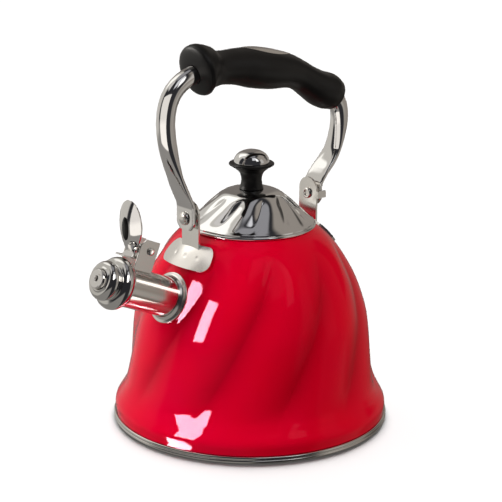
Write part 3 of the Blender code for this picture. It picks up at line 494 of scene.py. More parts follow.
def red_enamel():
    """Deep red enamel with painted shade, a darker red along the valleys between the lobes, and a hard gloss
    that stays red.
    """
    m = Nodes("red_enamel_gloss")
    cloud = m.spread(m.noise(26, 2), 0, 1)
    even = m.tint(cloud, (0.8, 0.0001, 0.015), (0.77, 0.0001, 0.019))
    # painted shade: the base colour turns to a darker red along the valleys, where the lobes would shade each
    # other
    m.set(base_color=m.tint(painted_valley_shade(m), even, (0.51, 0.0001, 0.0098)),
          roughness=m.spread(m.noise(35, 2), 0.025, 0.045),
          normal=m.bump(m.noise(420, 2), 0.01, 0.0002))
    m.set(specular_ior_level=0.12, specular_tint=(1.0, 0.45, 0.62, 1.0))
    return m.material


def metal(name, colour, dulled, cloud, wear, low, high, grain, strength, depth=0.00005):
    """Metal that cloud dulls, wear roughens and grain dents; each is a noise's scale, detail and stretch."""
    m = Nodes(name, metallic=1.0)
    darker = tuple(channel * dulled for channel in colour)
    m.set(base_color=m.tint(m.spread(m.noise(*cloud), 0, 1), colour, darker),
          roughness=m.spread(m.noise(*wear), low, high),
          normal=m.bump(m.noise(*grain), strength, depth))
    return m.material


def polished_steel(name, colour, low, high, marks=(900, 3), strength=0.02):
    """Polished sheet steel: fine rolling marks, faint haze."""
    return metal(name, colour, 0.93, (45, 2), marks, low, high, marks, strength)


def mirror_chrome(name, colour, low, high):
    """Chrome plating with faint wipe marks."""
    wipe = (90, 4, (1, 1, 0.4))
    return metal(name, colour, 0.965, wipe, wipe, low, high, (1400, 2), 0.008)


def black_plastic(name, low, high):
    """Moulded phenolic: near black, satin, with a very fine grain."""
    m = Nodes(name)
    grain = m.noise(2600, 2)
    cloud = m.noise(50, 3)
    m.set(base_color=m.tint(m.spread(cloud, 0, 1), (0.004, 0.0036, 0.0035), (0.0065, 0.0059, 0.0056)),
          roughness=m.spread(cloud, low, high),
          normal=m.bump(grain, 0.1, 0.00006))
    m.set(specular_ior_level=0.32)
    return m.material


def plain_metal(name, colour, roughness):
    """Bare metal with light wear."""
    wear = (300, 4)
    return metal(name, colour, 0.85, wear, wear, roughness * 0.8, roughness * 1.25, wear, 0.05, 0.00008)


ENAMEL = red_enamel()
STEEL = polished_steel("polished_sheet_steel", (0.86, 0.835, 0.8), 0.19, 0.21, strength=0.003)
BRUSHED = polished_steel("brushed_tube_steel", (0.74, 0.715, 0.68), 0.1, 0.2, (70, 3, (60, 1, 1)), 0.05)
RIM_STEEL = polished_steel("rolled_rim_steel", (0.68, 0.66, 0.63), 0.1, 0.18)
LID_CHROME = mirror_chrome("lid_chrome", (0.83, 0.82, 0.81), 0.05, 0.09)
TUBE_CHROME = mirror_chrome("tube_chrome", (0.8, 0.785, 0.77), 0.04, 0.08)
WHISTLE_CHROME = mirror_chrome("whistle_chrome", (0.68, 0.67, 0.65), 0.02, 0.05)
PHENOLIC = black_plastic("black_phenolic", 0.3, 0.4)
GLOSS_BLACK = black_plastic("glossy_black_pad", 0.1, 0.16)
ALUMINIUM = plain_metal("aluminium_core", (0.7, 0.7, 0.7), 0.4)
WIRE = plain_metal("spring_wire", (0.5, 0.49, 0.48), 0.28)


# ---- body
SHELL_PATH = side_path(SHELL_OUTLINE, 9)


def shell_radius(height):
    """Radius of the shell's outer side, over the crests of the lobes."""
    for upper, lower in zip(SHELL_PATH, SHELL_PATH[1:]):
        if lower.z <= height <= upper.z:
            share = (height - lower.z) / (upper.z - lower.z)
            return lower.x + (upper.x - lower.x) * share
    return SHELL_PATH[0].x if height > SHELL_PATH[0].z else SHELL_PATH[-1].x


def shell_point(angle, height, out=0.0):
    """A point on the shell's crests at this angle and height, moved out along the surface's normal."""
    step = 0.0015
    slope = (shell_radius(height + step) - shell_radius(height - step)) / (2 * step)
    normal = Vector((1.0, -slope)).normalized()
    radius = shell_radius(height) + normal.x * out
    return around_z(angle, radius, height + normal.y * out)


def lobe(angle, softness=0.1):
    """Depth below the crest, from 0 on the crest to 1 in the valley at angle 0 (one lobe per half turn)."""
    crest = sqrt(1 + softness ** 2) - softness
    return 1 - (sqrt(sin(angle) ** 2 + softness ** 2) - softness) / crest


def fluted(angle, radius, height):
    """The shell's surface: lobes that turn as they rise and fade at the skirt and at the mouth."""
    valley = FLUTE_PHASE + FLUTE_TWIST * (height - FLUTE_PHASE_HEIGHT)
    turn = (angle - radians(valley)) * FLUTE_COUNT / 2
    depth = FLUTE_DEPTH * fade(height, *FLUTE_GROWS) * (1 - fade(height, *FLUTE_FADES))
    return around_z(angle, radius - depth * lobe(turn), height)


def make_body():
    outer = profile(SHELL_PATH)
    inner = [(radius - SHELL_WALL, height - SHELL_WALL * 0.4) for radius, height in outer[-2::-4]]
    inner = [(outer[-1][0] - SHELL_WALL, SHELL_FOOT)] + inner
    shell = piece("fluted_shell", turned(outer + inner, 360, fluted), ENAMEL, "kettle_body", ["body_shell"],
                  60)
    bore = cylinder(beside_spout(-SPOUT_REACH, 0), beside_spout(SPOUT_REACH, 0), SHELL_HOLE_RADIUS)
    combine(shell, bore, 'DIFFERENCE', 60)

    inside = BASE_RADIUS - 0.003 + GAP
    bead = RIM_HEIGHT / 4
    centre = BASE_RADIUS - bead
    outline = [(inside, 0.0001)] + arc((centre, bead), bead, -90, 58, 14)
    outline += arc((centre, 3 * bead), bead, -58, 90, 14) + [(inside, RIM_HEIGHT)]
    piece("rolled_base_rim", turned(outline, 256), RIM_STEEL, "kettle_body", ["base_rim"])

    outline = ledge_ring(MOUTH_RADIUS, MOUTH_RADIUS + 0.0009, LINING_FOOT, LINING_LEDGE, 0.0425, 0.0005)
    steel_piece("mouth_lining", turned(outline, 160), "mouth_collar")


def ledge_ring(inner, outer, foot, ledge, ledge_radius, corner):
    """Section of a sheet ring that stands upright and turns outwards into a ledge at its top."""
    top = ledge + 0.0008
    return rounded([(inner, foot), (outer, foot), (outer, ledge), (ledge_radius, ledge), (ledge_radius, top),
                    (inner, top)], corner)


# ---- lid and knob
def lid_fluted(angle, radius, height):
    """The lid's surface: the same number of lobes, which fade at its rim and at its crown."""
    turn = (angle - radians(LID_FLUTE_PHASE) - radius * LID_FLUTE_SWEEP) * FLUTE_COUNT / 2
    depth = LID_FLUTE_DEPTH * fade(height, *LID_FLUTE_GROWS) * (1 - fade(height, *LID_FLUTE_FADES))
    return around_z(angle, radius - depth * lobe(turn), height)


def make_lid():
    flank = side_path([(0.0428, 0.1388), (0.0392, 0.1416), (0.03, 0.1501), (0.021, 0.1575),
                       (0.0145, LID_CROWN - 0.0003), (0.007, LID_CROWN)], 14)
    bead = 0.0012
    hole = KNOB_SCREW_RADIUS + 0.0004
    rim = arc((LID_RADIUS - bead, LID_FOOT + bead), bead, -90, 90, 12)
    outer = rim + profile(flank) + [(hole, LID_CROWN)]
    inner = [(hole, LID_CROWN - LID_WALL)]
    inner += [(radius - LID_WALL * 0.8, height - LID_WALL) for radius, height in outer[-2:len(rim):-3]]
    inner += [(LID_RADIUS - 0.0022, LID_FOOT + 0.0022), (LID_RADIUS - 0.002, LID_FOOT + 0.0002)]
    piece("lobed_lid", turned(outer + inner, 320, lid_fluted), LID_CHROME, "lid", ["lid_shell"], 50)

    skirt = MOUTH_RADIUS - 0.0006
    outline = ledge_ring(skirt - 0.0008, skirt, SKIRT_FOOT, SKIRT_LEDGE, 0.0412, 0.0004)
    steel_piece("lid_plug_ring", turned(outline, 160), "lid_skirt", "lid")


def make_knob():
    foot = LID_CROWN + GAP
    side = side_path([(0.0082, foot), (0.0074, foot + 0.003), (0.007, 0.168), (0.0084, 0.1722),
                      (0.0118, 0.1752), (KNOB_FLANGE_RADIUS - 0.0004, KNOB_FLANGE_HEIGHT - 0.0014)], 8)
    seat = KNOB_FLANGE_HEIGHT + 0.0002
    bore = KNOB_SCREW_RADIUS + GAP
    outline = [(0, KNOB_SOCKET_TOP), (bore, KNOB_SOCKET_TOP), (bore, foot)] + profile(side)
    outline += arc((KNOB_FLANGE_RADIUS - 0.0008, KNOB_FLANGE_HEIGHT - 0.0007), 0.0008, -30, 90, 8)
    outline += [(KNOB_CAP_RADIUS + 0.0006, seat), (0, seat)]
    piece("knob_stem", turned(outline, 96), PHENOLIC, "lid", ["knob"])

    cap_foot = seat + GAP
    dome = domed(KNOB_CAP_RADIUS, cap_foot, KNOB_TOP - cap_foot, 0.9, 5)
    piece("knob_dome", turned([(0, cap_foot)] + dome + [(0, KNOB_TOP)], 128), LID_CHROME, "lid", ["knob_cap"])


# ---- brackets and pivots
def foot_stations():
    """Places along a foot, as shares of its half length, with the height that its round corners take off."""
    share = FOOT_CORNER / (radians(FOOT_HALF_ANGLE) * shell_radius((FOOT_LOW + FOOT_HIGH) / 2))
    turns = [radians(90 - 9 * step) for step in range(10)]
    end = [(1 - share + share * sin(turn), FOOT_CORNER * (1 - cos(turn))) for turn in turns]
    middle = [((1 - share) * (1 - step / 20), 0.0) for step in range(41)]
    return end + middle + [(-place, cut) for place, cut in reversed(end)]


def foot_grid(front, out):
    """Points of a bracket's foot on the shoulder; front is 1 for the spout side and -1 for the rear."""
    middle = (FOOT_LOW + FOOT_HIGH) / 2
    half_height = (FOOT_HIGH - FOOT_LOW) / 2
    grid = []
    for place, cut in foot_stations():
        angle = radians(FOOT_HALF_ANGLE * place) + (0 if front > 0 else pi)
        row = []
        for v in spaced(16):
            point = shell_point(angle, middle + (half_height - cut) * v, out)
            for weld in WELDS if out > BRACKET_SHEET else ():
                away = hypot((place - weld) * WELD_SHARPNESS[0], v * WELD_SHARPNESS[1])
                point -= (point * WELD_DEPTH) * exp(-away ** 2)
            row.append(point)
        grid.append(row)
    return grid


def make_bracket(name, front, node):
    """A foot that hugs the shoulder and an upright with a round top and a rivet hole."""
    bracket = steel_piece(name, sheet(foot_grid(front, GAP), foot_grid(front, GAP + BRACKET_SHEET)), node)
    outline = [(UPRIGHT_HALF_WIDTH, UPRIGHT_FOOT)]
    outline += arc((0, HINGE_HEIGHT + 0.0025), UPRIGHT_HALF_WIDTH, 0, 180, 36)
    outline += [(-UPRIGHT_HALF_WIDTH, UPRIGHT_FOOT)]
    faces = [(0.0, y, z) for y, z in outline]
    outer = UPRIGHT_INNER + BRACKET_SHEET
    combine(bracket, prism(faces, (front * UPRIGHT_INNER, 0, 0), (front * outer, 0, 0)), 'UNION')
    combine(bracket, rivet_bore(front, UPRIGHT_INNER - 0.002, outer + 0.002), 'DIFFERENCE')
    if front < 0:
        edge = UPRIGHT_HALF_WIDTH - 0.0006
        near_edge, far_edge = LUG_EDGES
        plan = [(-UPRIGHT_INNER, edge), (-UPRIGHT_INNER, far_edge), (LUG_OUTER, far_edge),
                (LUG_OUTER, near_edge), (-outer, near_edge), (-outer, edge)]
        plan = [(x, y, HINGE_HEIGHT) for x, y in plan]
        combine(bracket, prism(plan, (0, 0, -LUG_HALF_HEIGHT), (0, 0, LUG_HALF_HEIGHT)), 'UNION')
    soften(bracket, 0.00035)


def rivet_bore(front, near, far):
    """A cutter for the rivet's hole, between two distances from the kettle's middle."""
    return cylinder((front * near, 0, HINGE_HEIGHT), (front * far, 0, HINGE_HEIGHT), RIVET_RADIUS + GAP, 32)


def make_pivot(name, front, node, washer):
    """Rivet with a domed outer head and a flared inner end."""
    def place(angle, radius, outward):
        return Vector((front * outward, radius * sin(angle), HINGE_HEIGHT + radius * cos(angle)))
    head = TAB_X + TAB_THICKNESS / 2 + GAP
    dome = domed(RIVET_HEAD_RADIUS, head, RIVET_HEAD_HEIGHT, 0.8, 6)
    tail = UPRIGHT_INNER - GAP
    outline = [(0, tail - 0.0002), (0.0017, tail - 0.0002)]
    outline += rounded([(0.0019, tail - 0.0002), (0.0023, tail - 0.0014), (0.0036, tail - 0.0012),
                        (0.0038, tail)], 0.0005, 4, False)
    outline += [(RIVET_RADIUS, tail), (RIVET_RADIUS, head)] + dome + [(0, head + RIVET_HEAD_HEIGHT)]
    steel_piece(name, turned(outline, 64, place), node)
    hole, start = RIVET_RADIUS + GAP, UPRIGHT_INNER + BRACKET_SHEET + GAP
    end = start + WASHER_THICKNESS
    outline = rounded([(hole, start), (WASHER_RADIUS, start), (WASHER_RADIUS, end), (hole, end)], 0.0002)
    steel_piece(name + "_washer", turned(outline, 64, place), washer)


# ---- folding handle
def arm_sections(middle_line, grow, steps=10, sides=48):
    """Sections of an arm, from a flat tab with cut corners to a round tube."""
    path = side_path(middle_line, steps)
    loops = []
    for index, centre in enumerate(path):
        ahead = heading(path, index)
        across = Vector((ahead.z, 0, -ahead.x)).normalized()
        roundness = fade(centre.z, *TUBE_ROUNDS)
        half_thick = TAB_THICKNESS / 2 + (TUBE_RADIUS - TAB_THICKNESS / 2) * roundness + grow
        half_wide = TAB_HALF_WIDTH + (TUBE_RADIUS - TAB_HALF_WIDTH) * roundness + grow
        half_wide -= TAB_CUT * (1 - fade(centre.z, *TAB_END))
        power = 2 / (6 - 4 * fade(centre.z, *CORNERS_FADE))
        loops.append([centre + across * (half_thick * copysign(abs(cosine) ** power, cosine))
                      + SIDE * (half_wide * copysign(abs(sine) ** power, sine))
                      for cosine, sine in circle(sides)])
    return loops


def make_arm(name, middle_line, front, node):
    arm = piece(name, loft(arm_sections(middle_line, 0.0)), TUBE_CHROME, "handle", [node])
    combine(arm, rivet_bore(front, TAB_X - 0.004, TAB_X + 0.004), 'DIFFERENCE')


def grip_frame(path, index):
    ahead = heading(path, index)
    direction = Vector((ahead.x, 0, ahead.y)).normalized()
    up = Vector((direction.z, 0, -direction.x))
    return direction, up if up.z > 0 else -up


def make_grip():
    """Moulded grip with a socket for each arm, and the metal plate let into its top."""
    path = smooth_path(GRIP_SPINE, 8)

    def ring(index, outward=0.0, shrink=1.0):
        """A ring round the grip at a point of its path, pushed out along it and shrunk at the grip's ends."""
        x, z, radius = path[index]
        direction, up = grip_frame(path, index)
        centre = Vector((x, 0, z)) + direction * radius * outward
        return [centre + radius * shrink * (up * cosine + SIDE * sine) for cosine, sine in circle(72)]

    def end(index, dome):
        turns = [radians(turn) for turn in range(9, 88, 6)]
        return [ring(index, dome * sin(turn), cos(turn)) for turn in turns]
    loops = end(0, -GRIP_FRONT_DOME)[::-1] + [ring(index) for index in range(len(path))]
    loops += end(len(path) - 1, GRIP_REAR_DOME)
    grip = piece("moulded_grip", loft(loops), PHENOLIC, "handle", ["grip"], 50)
    for middle_line in (FRONT_ARM, REAR_ARM):
        combine(grip, loft(arm_sections(middle_line, GAP, 6, 32)), 'DIFFERENCE', 50)
    combine(grip, plate_form(path, low=-0.0014, high=0.004, inset=0), 'DIFFERENCE', 50)
    soften(grip, 0.0004)
    inlay = plate_form(path, low=-0.001, high=0.0002, inset=0.0004)
    plate = steel_piece("grip_inlay", inlay, "grip_plate", "handle", 50)
    soften(plate, 0.0002)


def plate_form(path, low, high, inset):
    """Oval plate that follows the top of the grip, between two heights over its surface."""
    half_length = (PLATE_FRONT - PLATE_REAR) / 2 - inset

    def spot(u, v, height):
        x = (PLATE_FRONT + PLATE_REAR) / 2 - half_length * (u * sqrt(1 - 0.5 * v * v))
        after = next(k for k in range(1, len(path)) if path[k].x < x)
        share = (x - path[after - 1].x) / (path[after].x - path[after - 1].x)
        middle = path[after - 1].lerp(path[after], share)
        turn = radians((PLATE_HALF_ANGLE - inset * 2000) * (v * sqrt(1 - 0.5 * u * u)))
        spoke = grip_frame(path, after)[1] * cos(turn) + SIDE * sin(turn)
        return Vector((middle.x, 0, middle.y)) + spoke * (middle.z + height)
    return sheet(*[[[spot(u, v, height) for v in spaced(16)] for u in spaced(32)] for height in (low, high)])


# ---- spout
def reach_shell(radius, angle, out):
    """Length along the spout's axis at which a line beside it meets the shell's crests, moved out."""
    low, high = -SPOUT_REACH, SPOUT_REACH
    for _ in range(40):
        middle = (low + high) / 2
        point = around_spout(angle, radius, middle)
        if hypot(point.x, point.y) < shell_radius(point.z) + out:
            low = middle
        else:
            high = middle
    return high


def make_spout():
    def tube_place(angle, radius, along):
        return around_spout(angle, radius, along if along > 0 else reach_shell(radius, angle, GAP))
    inside, edge = SPOUT_RADIUS - SPOUT_WALL, 0.0002
    outline = [(inside, -1), (SPOUT_RADIUS, -1), (SPOUT_RADIUS, 0.02), (SPOUT_RADIUS, SPOUT_LENGTH - edge),
               (SPOUT_RADIUS - edge, SPOUT_LENGTH), (inside + edge, SPOUT_LENGTH),
               (inside, SPOUT_LENGTH - edge)]
    piece("spout_pipe", turned(outline, 128, tube_place), BRUSHED, "kettle_body", ["spout_tube"])

    def collar_place(angle, radius, out):
        return around_spout(angle, radius, reach_shell(radius, angle, GAP) + out)
    hole = SPOUT_RADIUS + GAP
    outline = [(hole, 0), (COLLAR_RADIUS - 0.0003, 0)]
    outline += rounded([(COLLAR_RADIUS, 0), (COLLAR_RADIUS, 0.0014), (hole + 0.0012, 0.0016), (hole, 0.003)],
                       0.0007, 6, False)
    steel_piece("spout_ring", turned(outline, 160, collar_place), "spout_collar")


# ---- whistle, lever and their bracket
def make_whistle():
    """The whistle's cap with its two bulges, and the disc with the blow hole in its front."""
    def bulge(size, wall, start, end, steps):
        place, outer, radius = size
        return lengthwise(arc((place, outer - radius), radius - wall, start, end, steps))
    mouth_inner, mouth_outer = WHISTLE_MOUTH
    bore = NOZZLE_RADIUS + GAP
    outline = [(mouth_outer, WHISTLE_START)]
    outline += bulge(WHISTLE_BIG, 0, 145, 20, 26) + bulge(WHISTLE_SMALL, 0, 140, 20, 24)
    outline += rounded([(bore + WHISTLE_WALL + 0.0012, NOZZLE_END - 0.0034),
                        (bore + WHISTLE_WALL, NOZZLE_END - 0.0026), (bore, NOZZLE_END - 0.0034)],
                       0.0004, 4, False)
    outline += [(bore, NOZZLE_END - 0.0044)]
    outline += bulge(WHISTLE_SMALL, WHISTLE_WALL, 35, 140, 10) + bulge(WHISTLE_BIG, WHISTLE_WALL, 30, 120, 10)
    outline += [(mouth_inner, WHISTLE_START + 0.0012), (mouth_inner, WHISTLE_START)]
    piece("whistle_beehive", turned(outline, 128, around_spout), WHISTLE_CHROME, "whistle", ["whistle_cap"])

    back = NOZZLE_END - NOZZLE_LENGTH
    outline = [(NOZZLE_HOLE_RADIUS, back), (NOZZLE_RADIUS, back)]
    outline += rounded([(NOZZLE_RADIUS, back + 0.0002), (NOZZLE_RADIUS, NOZZLE_END),
                        (NOZZLE_HOLE_RADIUS + 0.0002, NOZZLE_END), (NOZZLE_HOLE_RADIUS, NOZZLE_END - 0.0004)],
                       0.0007, 5, False)
    face = piece("whistle_face", turned(outline, 96, around_spout), TUBE_CHROME, "whistle",
                 ["whistle_nozzle"])
    slit = [[beside_spout(along, 0.003 + 0.0006 * sine, 0.0024 + 0.0016 * cosine)
             for cosine, sine in circle(16)] for along in (NOZZLE_END - 0.0012, NOZZLE_END + 0.001)]
    combine(face, loft(slit), 'DIFFERENCE')


def make_ear_bracket():
    """Saddle on the spout with two upright ears, and the whistle's pin through them."""
    inner = SPOUT_RADIUS + GAP
    outer = inner + EAR_SHEET
    ear_outer = EAR_INNER + EAR_SHEET
    root_out = degrees(asin(ear_outer / outer))
    root_in = degrees(asin(EAR_INNER / outer))
    section = arc((0, 0), outer, -SADDLE_SPREAD, -root_out, 6)
    section += [(EAR_TOP, -ear_outer), (EAR_TOP, -EAR_INNER)]
    section += arc((0, 0), outer, -root_in, root_in, 16)
    section += [(EAR_TOP, EAR_INNER), (EAR_TOP, ear_outer)]
    section += arc((0, 0), outer, root_out, SADDLE_SPREAD, 6)
    section += arc((0, 0), inner, SADDLE_SPREAD, -SADDLE_SPREAD, 36)
    outline = [beside_spout(0, above, side) for above, side in section]
    saddle = prism(outline, SPOUT_DIRECTION * EAR_START, SPOUT_DIRECTION * EAR_END)
    bracket = steel_piece("ear_saddle", saddle, "ear_bracket")
    past_end, past_top, beyond = EAR_END + 0.001, EAR_TOP + 0.001, SIDE * 0.012
    corner = [beside_spout(EAR_END - 0.004, past_top), beside_spout(past_end, past_top),
              beside_spout(past_end, EAR_TOP - 0.0055)]
    combine(bracket, prism(corner, -beyond, beyond), 'DIFFERENCE')
    combine(bracket, cylinder(PIVOT - beyond, PIVOT + beyond, PIN_RADIUS + GAP, 32), 'DIFFERENCE')
    soften(bracket, 0.00025)

    reach = ear_outer + GAP
    head = rounded([(PIN_HEAD_RADIUS, reach), (PIN_HEAD_RADIUS, reach + 0.0008),
                    (PIN_RADIUS + 0.0001, reach + 0.0011)], 0.0006, 4, False)
    outline = [(0, -reach - 0.0011)] + [(radius, -side) for radius, side in reversed(head)]
    outline += [(PIN_RADIUS, -reach), (PIN_RADIUS, reach)] + head + [(0, reach + 0.0011)]
    steel_piece("pivot_pin", turned(outline, 48, around_pin), "whistle_pin")


def make_spring():
    turns, steps = 3, 40
    loops = []
    for step in range(turns * steps + 1):
        share = step / (turns * steps)
        turn = tau * turns * share
        outward = SPOUT_UP * cos(turn) + SPOUT_DIRECTION * sin(turn)
        centre = PIVOT + outward * COIL_RADIUS + SIDE * (COIL_START + COIL_LENGTH * share)
        loops.append([centre + WIRE_RADIUS * (outward * cosine + SIDE * sine) for cosine, sine in circle(12)])
    piece("return_spring", loft(loops), WIRE, "kettle_body", ["whistle_spring"])


def lever_line():
    """The lever from the pin to its tip: middle, half width and depth of the dish at each place."""
    knee = beside_spout(0.0449, 0.0192)
    start = PIVOT - SPOUT_UP * 0.0023 + SPOUT_DIRECTION * 0.0012
    line = [(start, NECK_HALF_WIDTH, 0.0), (start.lerp(knee, 0.5), NECK_HALF_WIDTH, 0.0),
            (knee - SPOUT_DIRECTION * 0.0015, NECK_HALF_WIDTH, 0.0),
            (knee + Vector((0.0006, 0, 0.0008)), NECK_HALF_WIDTH - 0.0005, 0.0)]
    foot, rows = knee.z + 0.003, 44
    for row in range(rows + 1):
        share = row / rows
        if share < 0.5:
            swell = sin(pi * (0.13 + 0.87 * share) ** 1.25) ** 0.6
        else:
            swell = (1 - (2 * share - 1) ** 2.3) ** (1 / 2.3)
        bulge = sin(pi * min(1.0, 0.06 + 0.94 * share)) ** 0.8 if share < 1 else 0.0
        centre = Vector((SPOON_X + SPOON_BULGE * bulge, 0, foot + (SPOON_TOP - foot) * share))
        line.append((centre, max(0.002, SPOON_HALF_WIDTH * swell), SPOON_DISH * bulge))
    return line


def make_lever():
    """Spoon-shaped thumb lever: an eye on the pin, a strip to the whistle and a dish with a black pad."""
    line = lever_line()
    middles = [centre for centre, _, _ in line]
    low, high = [], []
    for index, (centre, width, depth) in enumerate(line):
        ahead = heading(middles, index)
        normal = Vector((ahead.z, 0, -ahead.x)).normalized()
        row = [centre + SIDE * (width * v) - normal * (depth * v * v) for v in spaced(24)]
        low.append([point - normal * LEVER_SHEET / 2 for point in row])
        high.append([point + normal * LEVER_SHEET / 2 for point in row])
    lever = piece("thumb_spoon", sheet(low, high), TUBE_CHROME, "whistle", ["thumb_lever"], 50)
    hole, (start, end) = PIN_RADIUS + GAP, EYE_SIDES
    eye = [(hole, start), (EYE_RADIUS, start), (EYE_RADIUS, end), (hole, end)]
    combine(lever, turned(eye, 48, around_pin), 'UNION', 50)
    beside_eye = cylinder(PIVOT + SIDE * (end + 0.0001), PIVOT + SIDE * 0.008, EYE_RADIUS + 0.0004, 40)
    combine(lever, beside_eye, 'DIFFERENCE', 50)
    saddle = [beside_spout(0.0437, 0.0186), beside_spout(0.052, 0.0184), beside_spout(0.052, 0.0194),
              beside_spout(0.0437, 0.0197)]
    combine(lever, prism(saddle, SIDE * -0.0045, SIDE * 0.0045), 'UNION', 50)
    combine(lever, loft([spoon_oval(0.096), spoon_oval(0.116)]), 'DIFFERENCE', 50)
    soften(lever, 0.0003)

    rings = [spoon_oval(0.1024, 0.001), spoon_oval(0.1034, 0.001), spoon_oval(0.1034, -GAP)]
    rings += [spoon_oval(forward, shrink - GAP - 0.003)
              for shrink, forward in domed(0.003, 0.106, 0.0012, 1, 10)]
    piece("thumb_inset", loft(rings), GLOSS_BLACK, "whistle", ["thumb_pad"], 50)


def spoon_oval(forward, grow=0.0):
    """Oval ring the size of the spoon's hole, at a distance forward."""
    wide, high = OVAL_HALF_WIDTH + grow, OVAL_HALF_HEIGHT + grow
    return [Vector((forward, wide * cosine, OVAL_MIDDLE + high * sine)) for cosine, sine in circle(64)]


def finish_hidden_nodes():
    """Materials for the CAD nodes that stay as they are."""
    kept = {"base_plate": BRUSHED, "base_core": ALUMINIUM, "inner_floor": BRUSHED, "knob_screw": STEEL,
            "knob_washer": STEEL, "whistle_reed_disc": STEEL}
    for node, material in kept.items():
        part = frame["nodes"][node]
        part.data.materials.clear()
        part.data.materials.append(material)
        soften(part, 0.0002)


# ---- floor, light and camera
CAMERA_TURN = 139.2  # the camera looks from this azimuth
CAMERA_DISTANCE = 1.1
CAMERA_HEIGHT = 0.43535
TARGET_HEIGHT = 0.11643
CAMERA_LENS = 120.08
CAMERA_ROLL = 0.4
FLOOR_HEIGHT = -0.0002
BACKDROP_RADIUS = 8.0


def from_camera(azimuth, elevation, distance):
    """A place seen from the kettle: degrees to the right of the camera's bearing, and above level."""
    turn = radians(CAMERA_TURN + azimuth)
    level = radians(elevation)
    return Vector((sin(turn) * cos(level), -cos(turn) * cos(level), sin(level))) * distance


def make_camera():
    data = bpy.data.cameras.new("camera")
    data.lens = CAMERA_LENS
    data.sensor_width = 36
    camera = new_object("camera", data)
    camera.location = from_camera(0, 0, CAMERA_DISTANCE) + Vector((0, 0, CAMERA_HEIGHT))
    view = Vector((0, 0, TARGET_HEIGHT)) - camera.location
    camera.rotation_euler = view.to_track_quat('-Z', 'Y').to_euler()
    camera.rotation_euler.rotate_axis('Z', radians(CAMERA_ROLL))
    bpy.context.scene.camera = camera


class Surroundings(Tree):
    """A dark studio with soft cards, painted on the world by direction.

    Directions are degrees to the right of the bearing that CAMERA_TURN gives, and degrees above level.
    """

    def __init__(self, colour):
        world = bpy.data.worlds.new("studio")
        world.use_nodes = True
        bpy.context.scene.world = world
        super().__init__(world.node_tree)
        direction = self.add('ShaderNodeTexCoord').outputs["Generated"]
        turn = self.add('ShaderNodeVectorRotate', {"Vector": direction, "Angle": radians(90 - CAMERA_TURN)},
                        rotation_type='Z_AXIS')
        split = self.add('ShaderNodeSeparateXYZ', {"Vector": turn.outputs[0]}).outputs
        self.bearing = self.math('MULTIPLY', self.math('ARCTAN2', split["Y"], split["X"]), degrees(1))
        self.level = self.math('MULTIPLY', self.math('ARCSINE', split["Z"]), degrees(1))
        self.colour = colour

    def inside(self, value, centre, half, soft):
        offset = self.math('ABSOLUTE', self.math('WRAP', self.math('SUBTRACT', value, centre), 180, -180))
        return self.spread(offset, 0, 1, half + soft / 2, half - soft / 2, interpolation_type='SMOOTHSTEP')

    def card(self, azimuth, elevation, half_width, half_height, soft, colour):
        share = self.math('MULTIPLY', self.inside(self.bearing, azimuth, half_width, soft),
                          self.inside(self.level, elevation, half_height, soft))
        self.colour = self.tint(share, self.colour, colour)


def softbox(name, place, width, height, radiance, colour=(1, 1, 1)):
    """A rectangular light that faces the kettle from a place, as bright as its radiance says."""
    data = bpy.data.lights.new(name, 'AREA')
    data.shape = 'RECTANGLE'
    data.size, data.size_y = width, height
    data.energy = radiance * pi * width * height
    data.color = colour
    light = new_object(name, data)
    target = Vector((0, 0, 0.09))
    light.location = target + from_camera(*place)
    light.rotation_euler = (target - light.location).to_track_quat('-Z', 'Y').to_euler()
    light.visible_camera = False
    return light


def grouped(name, parts):
    group = bpy.data.collections.new(name)
    for part in parts:
        group.objects.link(part)
    return group


def link_light(light, receivers, blockers=None):
    """A light falls on the receivers only and, if blockers are given, only they cast its shadow."""
    light.light_linking.receiver_collection = grouped("lit_by_" + light.name, receivers)
    if blockers:
        light.light_linking.blocker_collection = grouped("shades_" + light.name, blockers)


def made_of(material):
    return [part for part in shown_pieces() if material in list(part.data.materials)]


def named(*names):
    return [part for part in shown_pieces() if part.name in names]


def make_room():
    """Dark room; each card's azimuth, elevation, half width, half height, soft edge and colour."""
    room = Surroundings((0.03, 0.03, 0.034))
    for card in ((-90, -52, 95, 46, 10, (0.3, 0.29, 0.275)), (125, -50, 62, 45, 12, (0.14, 0.125, 0.11)),
                 (85, -14, 26, 22, 14, (0.42, 0.4, 0.37)), (180, 20, 34, 32, 12, (0.2, 0.18, 0.165)),
                 (115, 25, 52, 38, 12, (0.32, 0.29, 0.26)), (128, 18, 12, 14, 8, (0.06, 0.055, 0.05)),
                 (75, 20, 10, 18, 6, (0.55, 0.53, 0.5)), (-122, 28, 34, 46, 8, (0.62, 0.6, 0.56)),
                 (-128, 48, 16, 18, 6, (1.3, 1.28, 1.22)), (-72, 60, 24, 12, 8, (0.7, 0.68, 0.66)),
                 (0, 90, 180, 15, 6, (0.3, 0.3, 0.32)), (28, 56, 22, 13, 6, (0.75, 0.76, 0.8)),
                 (44, 42, 8, 12, 3, (1.5, 1.5, 1.5))):
        room.card(*card)
    room.feed(room.tree.nodes["Background"].inputs[0], room.colour)


